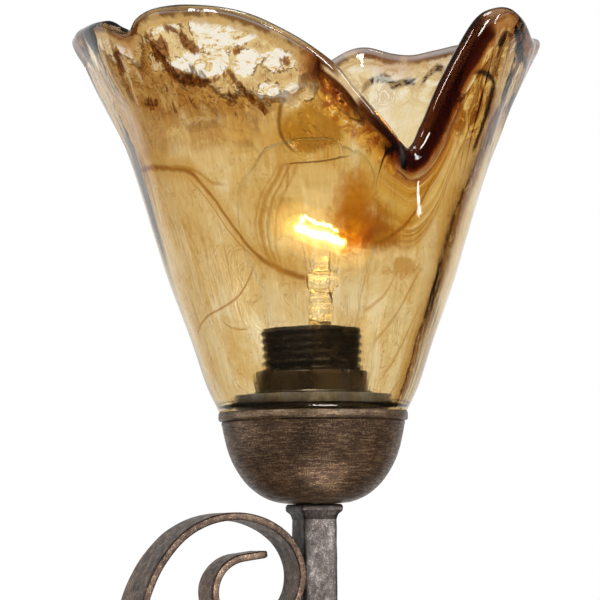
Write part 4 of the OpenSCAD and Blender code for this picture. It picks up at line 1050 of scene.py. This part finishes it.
def scroll():
    P = bar_path()
    w = np.array([p[3] for p in P])
    for _ in range(30):
        w[1:-1] = (w[:-2] + 2 * w[1:-1] + w[2:]) / 4
    t = 3.0
    c = 0.75
    # section: one side of the bar from -w/2 to w/2 with rounded arrises; q = (across, along normal, edge)
    verts, at, faces = [], [], []
    n_side = 12
    per = None
    s_acc = 0.0
    for i, (u, h, a, _w) in enumerate(P):
        if i:
            s_acc += math.hypot(u - P[i - 1][0], h - P[i - 1][1])
        W, d = w[i] / 2, t / 2
        end = min(i, len(P) - 1 - i)
        squeeze = 1.0 if end > 1 else (0.90 if end == 1 else 0.72)
        sec = []
        arc = [(math.cos(math.radians(x)), math.sin(math.radians(x))) for x in (0, 18, 36, 54, 72, 90)]
        # right edge up, top face right to left, left edge down, bottom face left to right
        for cx_, cy_ in arc:
            sec.append((W - c + c * cx_, d - c + c * cy_, (-0.25 if cy_ < 0.35 else -0.85) if cy_ < 0.85 else -0.30))
        for k in range(1, n_side):
            sec.append((W - c - (2 * W - 2 * c) * k / n_side, d, 0.0))
        for cx_, cy_ in arc[::-1]:
            sec.append((-W + c - c * cx_, d - c + c * cy_, (-0.25 if cy_ < 0.35 else -0.85) if cy_ < 0.85 else -0.30))
        for cx_, cy_ in arc:
            sec.append((-W + c - c * cx_, -d + c - c * cy_, (-0.25 if cy_ < 0.35 else -0.85) if cy_ < 0.85 else -0.30))
        for k in range(1, n_side):
            sec.append((-W + c + (2 * W - 2 * c) * k / n_side, -d, 0.0))
        for cx_, cy_ in arc[::-1]:
            sec.append((W - c + c * cx_, -d + c - c * cy_, (-0.25 if cy_ < 0.35 else -0.85) if cy_ < 0.85 else -0.30))
        per = len(sec)
        ca, sa = math.cos(math.radians(a)), math.sin(math.radians(a))
        for x, q, e in sec:
            # hammered waviness across the bar's thickness; the sideways wave dx is only added where the edge value is
            # over 0, which no point of the section has
            dx = 0.22 * rnd(s_acc * 0.16, 3.0 if x > 0 else 9.0, 0) + 0.12 * rnd(s_acc * 0.5, 5.0 if x > 0 else 1.0, 2.0)
            dq = 0.10 * rnd(s_acc * 0.13, x * 0.12, 1.0)
            xx = x * squeeze + (dx if e > 0 else 0)
            qq = q * (squeeze if end < 2 else 1) + dq
            verts.append((xx * MM, YP + (u - sa * qq) * MM, ZR + (h + ca * qq) * MM))
            at.append(e)
    for i in range(len(P) - 1):
        for k in range(per):
            l = (k + 1) % per
            faces.append([i * per + k, i * per + l, (i + 1) * per + l, (i + 1) * per + k])
    faces.append(list(range(per))[::-1])
    faces.append([(len(P) - 1) * per + k for k in range(per)])
    to_object("scroll_forged", verts, faces, M["bronze_bar"], "root", ("scroll",), 50, {"edge": at})


scroll()

# ------------------------------------------------------------------ finial, arm, wall plate
fin = spline([(0.01, 0), (7.3, 0)], 1) + spline([(7.5, -0.4), (7.5, -1.8), (5.2, -3.1), (4.0, -4.6), (4.5, -6.1), (7.4, -8.3), (8.9, -11.2), (8.9, -14), (7.8, -17), (5.6, -19.2), (3.4, -20.7), (2.6, -22.4), (1.8, -24), (0.3, -24.55)], 6)
fin = [(float(r), float(z)) for r, z in fin]
lathe("finial_turned", [(0, 0)] + fin[1:] + [(0, -24.6)], M["bronze"], 72, replaces=("finial",), centre=(0, YP, ZR + (-164.1 - 3.05) * MM), closed=False)
R0 = 63.5
out = [(R0, 0), (R0, 2.2)] + [tuple(p) for p in spline([(R0 - 0.1, 2.8), (R0 - 1, 6), (R0 - 3, 9.5), (R0 - 5.5, 12), (R0 - 7, 12.95)], 5)] + [(56.2, 13), (46.2, 13)] + \
      [tuple(p) for p in spline([(45.6, 13.05), (44.4, 13.4), (41, 15), (36, 18.6), (31, 22.2), (26, 24.4), (20, 25.35), (14, 25.5)], 5)] + [(5, 25.5)]
inn = [(5, 24.0), (14, 24.0), (20, 23.85), (26, 22.9), (30.4, 20.8), (35.3, 17.1), (40.2, 13.5), (44, 11.9), (46, 11.5), (56, 11.5), (57.4, 10.4), (59.4, 8.2), (61.1, 5), (62, 2), (62, 0)]
edge = [0.5 if (abs(r - R0) < 0.2 or 44.0 < r < 46.5) else 0.0 for r, z in out + inn]
lathe("wall_plate_spun", [(float(a), float(b)) for a, b in out + inn], M["bronze_cup"], 160, replaces=("wall_plate",), centre=(0, 0, 0), axis="y", edge=edge, smooth_deg=40)
lathe("arm_flange_turned", [(6.35, 25.5), (12.5, 25.5), (12.5, 26.8), (11.9, 27.7), (10.6, 28.5), (9.2, 29.4), (8.4, 30.8), (8.0, 32.3), (7.5, 32.9), (6.35, 33)], M["bronze"], 72,
      replaces=("arm_flange",), centre=(0, 0, 0), axis="y")


# ------------------------------------------------------------------ lamp holder
def helix_lathe(name, z0, z1, r_fn, material, seg=120, step=0.35, body="root", replaces=(), bottom=(), top=(), pitch=3.1, phase=0.0):
    """A turned wall whose radius follows a true helix: r_fn(turn position 0..1, z)."""
    rows = int((z1 - z0) / step) + 1
    verts, faces = [], []
    prof_rows = []
    for r, z in bottom:
        prof_rows.append(("flat", r, z))
    for j in range(rows):
        prof_rows.append(("thread", None, z0 + (z1 - z0) * j / (rows - 1)))
    for r, z in top:
        prof_rows.append(("flat", r, z))
    for kind, r, z in prof_rows:
        for i in range(seg):
            a = 2 * math.pi * i / seg
            rr = r if kind == "flat" else r_fn(((z / pitch) - a / (2 * math.pi) + phase) % 1.0, z, a)
            verts.append((rr * math.cos(a) * MM, YP + rr * math.sin(a) * MM, ZR + z * MM))
    m = len(prof_rows)
    for j in range(m):
        k = (j + 1) % m
        for i in range(seg):
            l = (i + 1) % seg
            faces.append([j * seg + i, j * seg + l, k * seg + l, k * seg + i])
    return to_object(name, verts, faces, material, body, replaces, 42, None)


def tri(t, flat_top=0.16, flat_bot=0.10):
    """Thread form, 0 at the root and 1 at the crest."""
    d = abs(t - 0.5) * 2
    v = (1 - d - flat_bot) / (1 - flat_bot - flat_top)
    return max(0.0, min(1.0, v))


def holder_r(t, z, a):
    fade = max(0.0, min(1.0, (33.1 - z) / 1.2)) * max(0.0, min(1.0, (z + 3.8) / 1.0))
    chip = 0.09 * rnd(math.cos(a) * 6, math.sin(a) * 6, z * 0.9) + 0.05 * rnd(a * 9, z * 3, 1)
    return 18.55 + (1.30 + chip) * tri(t, 0.30, 0.16) * fade - 0.1


helix_lathe("holder_threaded", -4.2, 33.2, holder_r, M["phenolic"], seg=160, step=0.26, replaces=("holder_body",),
            bottom=[(1.4, -3), (15.4, -3), (15.4, -19.8), (16.0, -20), (18.8, -20), (19, -19.8), (19, -7), (23.4, -6), (23.4, -4.65), (18.5, -4.62)],
            top=[(18.2, 33.5), (17.0, 33.5), (16.6, 33.2), (14.3, 29.6), (14.2, 29.0), (14.2, 2.1), (14.0, 2.0), (1.4, 2.0)])


def castle_ring():
    """The shade ring: a low flange, a band with raised panels between deep slots, and a bevelled crown."""
    seg = 288
    verts, faces = [], []
    rows = [("i", 19.92, 7.35), ("f", 23.55, 7.35), ("f", 23.6, 7.6), ("f", 23.6, 8.0), ("f", 23.3, 8.35), ("b", 22.35, 8.6), ("b", 22.35, 9.2), ("b", 22.35, 11.5), ("b", 22.35, 14.2), ("b", 22.35, 15.5),
            ("b", 22.1, 15.95), ("c", 21.6, 16.25), ("c", 20.6, 16.3), ("i", 19.92, 16.3)]
    for kind, r, z in rows:
        for i in range(seg):
            a = 360.0 * i / seg
            k = (a - 20.0 + 22.5) % 45.0 - 22.5       # degrees from the nearest slot
            rr = r
            if kind == "b":
                d = abs(k)
                slot_in = 1.15 * (1 - float(smooth_step(np.array(d), 2.2, 3.4)))
                # every other panel stands a little lower, as on the real ring
                pan = int(((a - 20.0) % 360.0) // 45.0)
                rr = r - slot_in - (0.45 if pan % 2 else 0.0) * float(smooth_step(np.array(d), 3.4, 5.0))
            th = math.radians(a)
            verts.append((rr * math.cos(th) * MM, YP + rr * math.sin(th) * MM, ZR + z * MM))
    m = len(rows)
    for j in range(m):
        k = (j + 1) % m
        for i in range(seg):
            l = (i + 1) % seg
            faces.append([j * seg + i, j * seg + l, k * seg + l, k * seg + i])
    to_object("shade_ring_castle", verts, faces, M["phenolic_ring"], "ring_body", ("shade_ring",), 30, None)


castle_ring()
lathe("shade_disc_dished", [(20.1, 2.85), (30.6, 2.85), (31.05, 3.05), (31.2, 3.4), (31.2, 6.5), (31.05, 6.95), (30.6, 7.2), (26, 7.28), (20.1, 7.3)], M["phenolic_disc"], 144, body="washer_body",
      replaces=("shade_disc",))
lathe("cushion_ring_soft", [(20.7, 0.85), (30.0, 0.85), (30.4, 1.2), (30.4, 2.4), (30.0, 2.8), (20.7, 2.8)], M["rubber"], 120, replaces=("cushion_ring",))

# ------------------------------------------------------------------ bulb
LEAN = (5.2, 0.0)          # the mount stands a little off the bulb's axis, in mm


def lean(z):
    f = min(1.0, max(0.0, (z - 28.0) / 12.0))
    return LEAN[0] * (0.45 * f * f * (3 - 2 * f) + 0.55 * min(1.0, max(0.0, (z - 34.0) / 34.0)))


BULB = [(12.35, 27), (12.35, 31.1), (12.9, 31.4), (14.2, 32.7), (15.4, 34.2), (16.1, 36), (17.1, 42), (18.6, 48), (21.2, 54), (24.6, 60), (27.6, 66), (29.5, 73), (30, 80), (29.2, 87.5), (26.8, 94.5), (22.6, 100.5),
        (17, 105.2), (10, 108.4), (4, 109.4)]
bo = [(float(a), float(b)) for a, b in spline(BULB, 5)]
inner = []
for i in range(len(bo) - 1, 9, -1):
    a, b = np.array(bo[max(0, i - 1)]), np.array(bo[min(len(bo) - 1, i + 1)])
    tn = (b - a) / np.linalg.norm(b - a)
    inner.append((bo[i][0] - tn[1] * 0.7, bo[i][1] + tn[0] * 0.7))
lathe("bulb_envelope", bo + [(0, 109.5), (0, 108.8)] + inner[1:] + [(11.6, 31.0), (11.6, 27)], M["clear"], 128, body="bulb_body", replaces=("bulb_glass",))
stem = spline([(11.4, 27), (11.3, 28.4), (9.4, 30.5), (6.4, 33), (4.9, 35.5), (4.5, 38), (4.9, 40.5), (4.3, 43), (4.7, 45), (4.4, 47), (5.2, 48.6), (7.4, 50.0), (8.0, 51.6), (7.0, 53.6), (5.6, 54.6), (6.3, 55.3), (6.2, 56.2), (4.6, 56.8), (2.0, 57.2), (1.1, 60.2), (1.5, 61.2), (1.0, 62.0)], 4)
ob = lathe("bulb_stem_press", [(0, 27)] + [(float(a), float(b)) for a, b in stem] + [(0, 62.4)], M["clear_stem"], 64, body="bulb_body", replaces=("bulb_stem",), closed=False,
           wobble=lambda a, z: 0.0 if z < 31 else 0.55 * rnd(math.cos(a) * 1.7, math.sin(a) * 1.7, z * 0.22) + (1.1 if 48.5 < z < 54.5 else 0.0) * math.cos(2 * a - 2 * math.radians(67.0)))
def lean_mesh(ob):
    for v in ob.data.vertices:
        z = (v.co.z - ZR) / MM
        k = lean(z) * MM
        v.co.x += k * math.cos(math.radians(67.0))
        v.co.y += k * math.sin(math.radians(67.0))


lean_mesh(ob)


def base_r(t, z, a):
    return 12.55 + 0.68 * math.sin(math.pi * t) ** 0.8 * max(0.0, min(1.0, (z - 11.2) / 1.0)) * max(0.0, min(1.0, (26.4 - z) / 1.0))


helix_lathe("bulb_cap_screw", 11.1, 26.5, base_r, M["nickel"], seg=96, step=0.4, body="bulb_body", replaces=("bulb_base",), bottom=[(11.0, 10.1), (11.6, 10.1), (12.3, 10.6)],
            top=[(12.85, 26.9), (12.9, 27.4), (12.9, 30.6), (12.75, 31.0), (12.42, 31.0), (12.42, 12.0), (11.0, 11.6)], pitch=3.629)

FD = math.radians(67.0)


def bulb_pt(x, y, z):
    return Vector(((x * math.cos(FD) - y * math.sin(FD)) * MM, YP + (x * math.sin(FD) + y * math.cos(FD)) * MM, ZR + z * MM))


M["wire_b"] = M["tungsten_wire"]


def coil():
    """A coiled wire hung as an open loop: a long front run, a short left link and a back run."""
    corner = [(15.0, -2.5, 67.0), (-5.8, -2.5, 73.2), (-3.1, 3.5, 78.9), (11.4, 3.5, 72.1)]
    path = []
    for i in range(3):
        p, q = np.array(corner[i]), np.array(corner[i + 1])
        k = int(np.linalg.norm(q - p) * 4)
        path += [p + (q - p) * j / k for j in range(k)]
    path = np.array(path + [np.array(corner[-1])])
    for _ in range(3):
        path[1:-1] = (path[:-2] + 2 * path[1:-1] + path[2:]) / 4
    ln = np.concatenate([[0], np.cumsum(np.linalg.norm(np.diff(path, axis=0), axis=1))])
    n = int(ln[-1] / 0.9 * 8)
    pts, rad = [], []
    for i in range(n + 1):
        s_ = ln[-1] * i / n
        c = np.array([np.interp(s_, ln, path[:, k]) for k in range(3)])
        th = 2 * math.pi * i / 8
        front = s_ < 21.8
        r = 0.85 if front else 0.38
        pts.append(bulb_pt(c[0], c[1] + r * math.cos(th), c[2] + r * math.sin(th)))
        rad.append(0.00060 if front else 0.00028)
    ob = tube("filament_coil", pts, 0.0003, M["glow"], "bulb_body", ("filament",), sides=6, radii=rad)
    # the lens bloom round the hot wire: nested bodies of faint light, no part of the object
    for k, (rm, power, tint) in enumerate(((2.6, 420.0, (1.0, 0.80, 0.38)), (5.5, 75.0, (1.0, 0.70, 0.22)), (10.5, 14.0, (1.0, 0.62, 0.12)), (17.0, 3.0, (1.0, 0.60, 0.12)))):
        m = bpy.data.materials.new("bloom_%d" % k)
        m.use_nodes = True
        nn = Nodes(m.node_tree)
        e = nn.add("ShaderNodeEmission")
        e.inputs["Color"].default_value = (*tint, 1)
        e.inputs["Strength"].default_value = power
        o = nn.add("ShaderNodeOutputMaterial")
        nn.link(e.outputs[0], o.inputs["Volume"])
        a, b = (np.array(corner[1]) + np.array((0.8, 0, 0)), np.array(corner[0]) - np.array((0.8, 0, 0))) if k < 3 else (np.array(corner[1]) * 0.7 + np.array(corner[0]) * 0.3, np.array(corner[0]) * 0.7 + np.array(corner[1]) * 0.3)
        p3, r3 = [], []
        for i in range(-8, 25):
            if i < 0:
                c, rr = a - (b - a) / np.linalg.norm(b - a) * rm * math.sin(math.pi / 2 * (-i) / 8), rm * math.cos(math.pi / 2 * (-i) / 8.3)
            elif i > 16:
                c, rr = b + (b - a) / np.linalg.norm(b - a) * rm * math.sin(math.pi / 2 * (i - 16) / 8), rm * math.cos(math.pi / 2 * (i - 16) / 8.3)
            else:
                c, rr = a + (b - a) * i / 16, rm
            p3.append(bulb_pt(*c))
            r3.append(rr * MM)
        halo = tube("bloom_%d" % k, p3, 0.001, m, "bulb_body", (), sides=32, radii=r3)
        halo.visible_diffuse = False
        halo.visible_glossy = False
        halo.visible_shadow = False


coil()
wires = [((-2.9, 0, 54.6), (-5.8, -2.4, 73.2)), ((10.5, 0, 54.6), (15.0, -2.4, 67.0)), ((5.9, 1.0, 34.5), (6.1, -2.4, 69.0)), ((0.1, 0, 55.0), (-3.1, 3.4, 78.9)), ((8.5, 0, 55.0), (11.4, 3.4, 72.1)), ((-1.8, 0.6, 53.0), (0.6, 0.8, 47.6))]
for k, (p, q) in enumerate(wires):
    mid = tuple((np.array(p) + np.array(q)) / 2 + np.array((0.35 * (-1) ** k, 0.25, 0)))
    pts = [bulb_pt(*x) for x in spline([p, mid, q], 8)]
    tube("filament_wire_%d" % k, pts, 0.00030 if k in (2, 5) else 0.00017, M["wire_b"], "bulb_body", ("filament_supports",) if k == 0 else (), sides=10)

# ------------------------------------------------------------------ cap nuts and trim washers
for side, x in (("left", -0.052), ("right", 0.052)):
    lathe("trim_washer_%s_turned" % side, [(2.6, 13.02), (5.9, 13.02), (6.0, 13.15), (6.0, 13.5), (5.8, 13.8), (5.3, 14.1), (5.0, 14.2), (2.6, 14.2)], M["bronze"], 64, body="washer_%s_body" % side,
          replaces=("trim_washer_%s" % side,), centre=(x, 0, 0), axis="y")
    verts, faces, at = [], [], []
    seg = 72
    rows = [(2.08, 14.2, 0), (5.0, 14.2, 1), (5.35, 14.45, 1), (5.4, 14.8, 1), (5.4, 17.4, 1), (5.3, 17.9, 1), (4.6, 18.3, 0.5), (4.4, 18.45, 0)] + \
           [(4.4 * math.cos(math.radians(a)), 19.0 + 4.3 * math.sin(math.radians(a)), 0) for a in range(0, 90, 9)] + [(0.3, 23.3, 0)]
    rows += [(0.3, 20.8, 0), (2.08, 20.8, 0)]
    for r, z, hexy in rows:
        for i in range(seg):
            a = 2 * math.pi * i / seg
            k = (a % (math.pi / 3)) - math.pi / 6
            flat = 4.68 / math.cos(k)
            rr = r if not hexy else r + (min(r, flat) - r) * hexy
            verts.append((x + rr * math.cos(a) * MM, -z * MM, rr * math.sin(a) * MM))
            at.append(0.8 if hexy and 17 < z < 18.4 else 0.0)
    m = len(rows)
    for j in range(m):
        k = (j + 1) % m
        for i in range(seg):
            l = (i + 1) % seg
            faces.append([j * seg + i, j * seg + l, k * seg + l, k * seg + i])
    to_object("cap_nut_%s_turned" % side, verts, faces, M["bronze"], "nut_%s_body" % side, ("cap_nut_%s" % side,), 30, {"edge": at})

# ------------------------------------------------------------------ CAD nodes that stay, with their finish
KEEP = {"crossbar": "zinc_steel", "mounting_studs": "zinc_steel", "stud_locknuts": "zinc_steel", "arm_nipple": "zinc_steel", "arm_locknut": "zinc_steel", "arm_tube": "bronze_post",
        "post_top_plug": "zinc_steel", "riser_nipple": "zinc_steel", "lock_washer": "zinc_steel", "riser_nut": "brass", "holder_cap": "phenolic", "screw_shell": "brass", "center_contact": "brass",
        "contact_insulator": "fibre", "terminal_screws": "brass", "seat_plate": "zinc_steel", "glass_gasket": "rubber", "bulb_contact": "solder", "bulb_insulator": "black_glass",
        "wire_hot": "wire_black", "wire_neutral": "wire_white", "ground_wire": "wire_green", "ground_screw": "green_screw", "wire_nuts": "orange"}
for k, v in KEEP.items():
    ob = nodes[k]
    ob.data.materials.clear()
    ob.data.materials.append(M[v])

# ------------------------------------------------------------------ stage and light
scene = bpy.context.scene
scene.view_settings.view_transform = "Standard"
scene.view_settings.look = "None"
me = bpy.data.meshes.new("floor")
fv = [(0.9 * math.cos(2 * math.pi * i / 64), 0.9 * math.sin(2 * math.pi * i / 64) + YP, -0.32) for i in range(64)]
me.from_pydata(fv, [], [list(range(64))])
floor = bpy.data.objects.new("floor", me)
scene.collection.objects.link(floor)
fm, fn, fb = principled("floor_pale", Roughness=0.8)
# the glass mirrors a dim floor, so that its reflections don't veil what stands inside it
floor_lp = fn.add("ShaderNodeLightPath")
fn.link(fn.mix(fn.math("GREATER_THAN", floor_lp.outputs["Glossy Depth"], 0.5), fn.mix(fn.noise(fn.coord(), 6, 2), (0.86, 0.86, 0.86), (0.90, 0.90, 0.90)), (0.05, 0.05, 0.05)), fb.inputs["Base Color"])
me.materials.append(fm)
floor.visible_glossy = False


def world():
    w = bpy.data.worlds.new("studio")
    scene.world = w
    w.use_nodes = True
    n = Nodes(w.node_tree)
    o = n.add("ShaderNodeOutputWorld")
    lp = n.add("ShaderNodeLightPath")
    first = n.math("MULTIPLY", n.math("LESS_THAN", lp.outputs["Glossy Depth"], 0.5), n.math("LESS_THAN", lp.outputs["Diffuse Depth"], 0.5))
    through = n.math("MULTIPLY", lp.outputs["Is Transmission Ray"], first)
    d = n.xyz(n.coord("Generated"))
    # the pale backdrop stands round the horizon: rays bent far up or down by thick glass see the dim room
    tilt = n.math("ABSOLUTE", d[2])
    behind = n.ramp(tilt, (0.0, (1.0, 1.0, 1.0)), (0.40, (1.0, 0.995, 0.985)), (0.62, (0.50, 0.45, 0.40)), (1.0, (0.26, 0.23, 0.21)))
    # a dim room with a brighter ceiling for reflections
    room = n.ramp(n.span(d[2], -1.0, 1.0, 0, 1, smooth=False), (0.0, 0.05), (0.45, 0.045), (0.62, 0.07), (1.0, 0.22))
    # the white backdrop card stands behind the part, opposite the camera's place
    facing = n.math("ADD", n.math("MULTIPLY", d[0], -0.92), n.math("MULTIPLY", d[1], 0.39))
    card = n.math("MULTIPLY", n.span(facing, 0.48, 0.80), n.span(tilt, 0.62, 0.35))
    glossy = n.mix(card, room, (0.85, 0.84, 0.83))
    mirrored = n.math("GREATER_THAN", lp.outputs["Glossy Depth"], 0.5)
    col = n.mix(mirrored, (0.17, 0.17, 0.17), glossy)
    col = n.mix(through, col, behind)
    col = n.mix(lp.outputs["Is Camera Ray"], col, (1.0, 1.0, 1.0))
    b = n.add("ShaderNodeBackground")
    n.link(col, b.inputs["Color"])
    b.inputs["Strength"].default_value = 1.0
    n.link(b.outputs[0], o.inputs["Surface"])


world()


def area(name, at, to, size, power, size_y=None, colour=(1, 1, 1)):
    l = bpy.data.lights.new(name, "AREA")
    l.shape = "RECTANGLE"
    l.size, l.size_y = size, size_y or size
    l.energy = power
    l.color = colour
    ob = bpy.data.objects.new(name, l)
    ob.location = at
    ob.rotation_euler = (Vector(to) - Vector(at)).to_track_quat("-Z", "Y").to_euler()
    ob.visible_camera = False
    ob.visible_transmission = False
    scene.collection.objects.link(ob)
    return ob


aim = (0, YP, 0.13)
# camera direction is (0.92, -0.39); left of the picture is (-0.39, -0.92)
area("softbox_front", (1.10, -0.10, 0.30), aim, 0.24, 13.0, 0.70, (1.0, 0.97, 0.93))
area("softbox_left", (0.45, -1.25, 0.50), aim, 0.12, 8.0, 0.8)
rear = area("softbox_rear", (-0.42, -0.92, 0.12), (0, YP, 0.07), 0.12, 2.4, 0.5)
# it rounds off the cup and the scroll only: on the glass it would be a hard white streak
lit = bpy.data.collections.new("rear_light_receivers")
for ob_ in list(scene.objects):
    if ob_.type == "MESH" and ob_.name.startswith(("cup_spun", "scroll_forged")):
        lit.objects.link(ob_)
rear.light_linking.receiver_collection = lit
area("softbox_right", (0.80, 0.75, 0.40), aim, 0.14, 6.0, 0.7)
area("softbox_top", (0.15, -0.25, 1.25), aim, 0.45, 8)
area("softbox_low", (0.17, -0.165, -0.28), (0, YP, 0.09), 0.14, 1.1, None, (1.0, 0.95, 0.88))
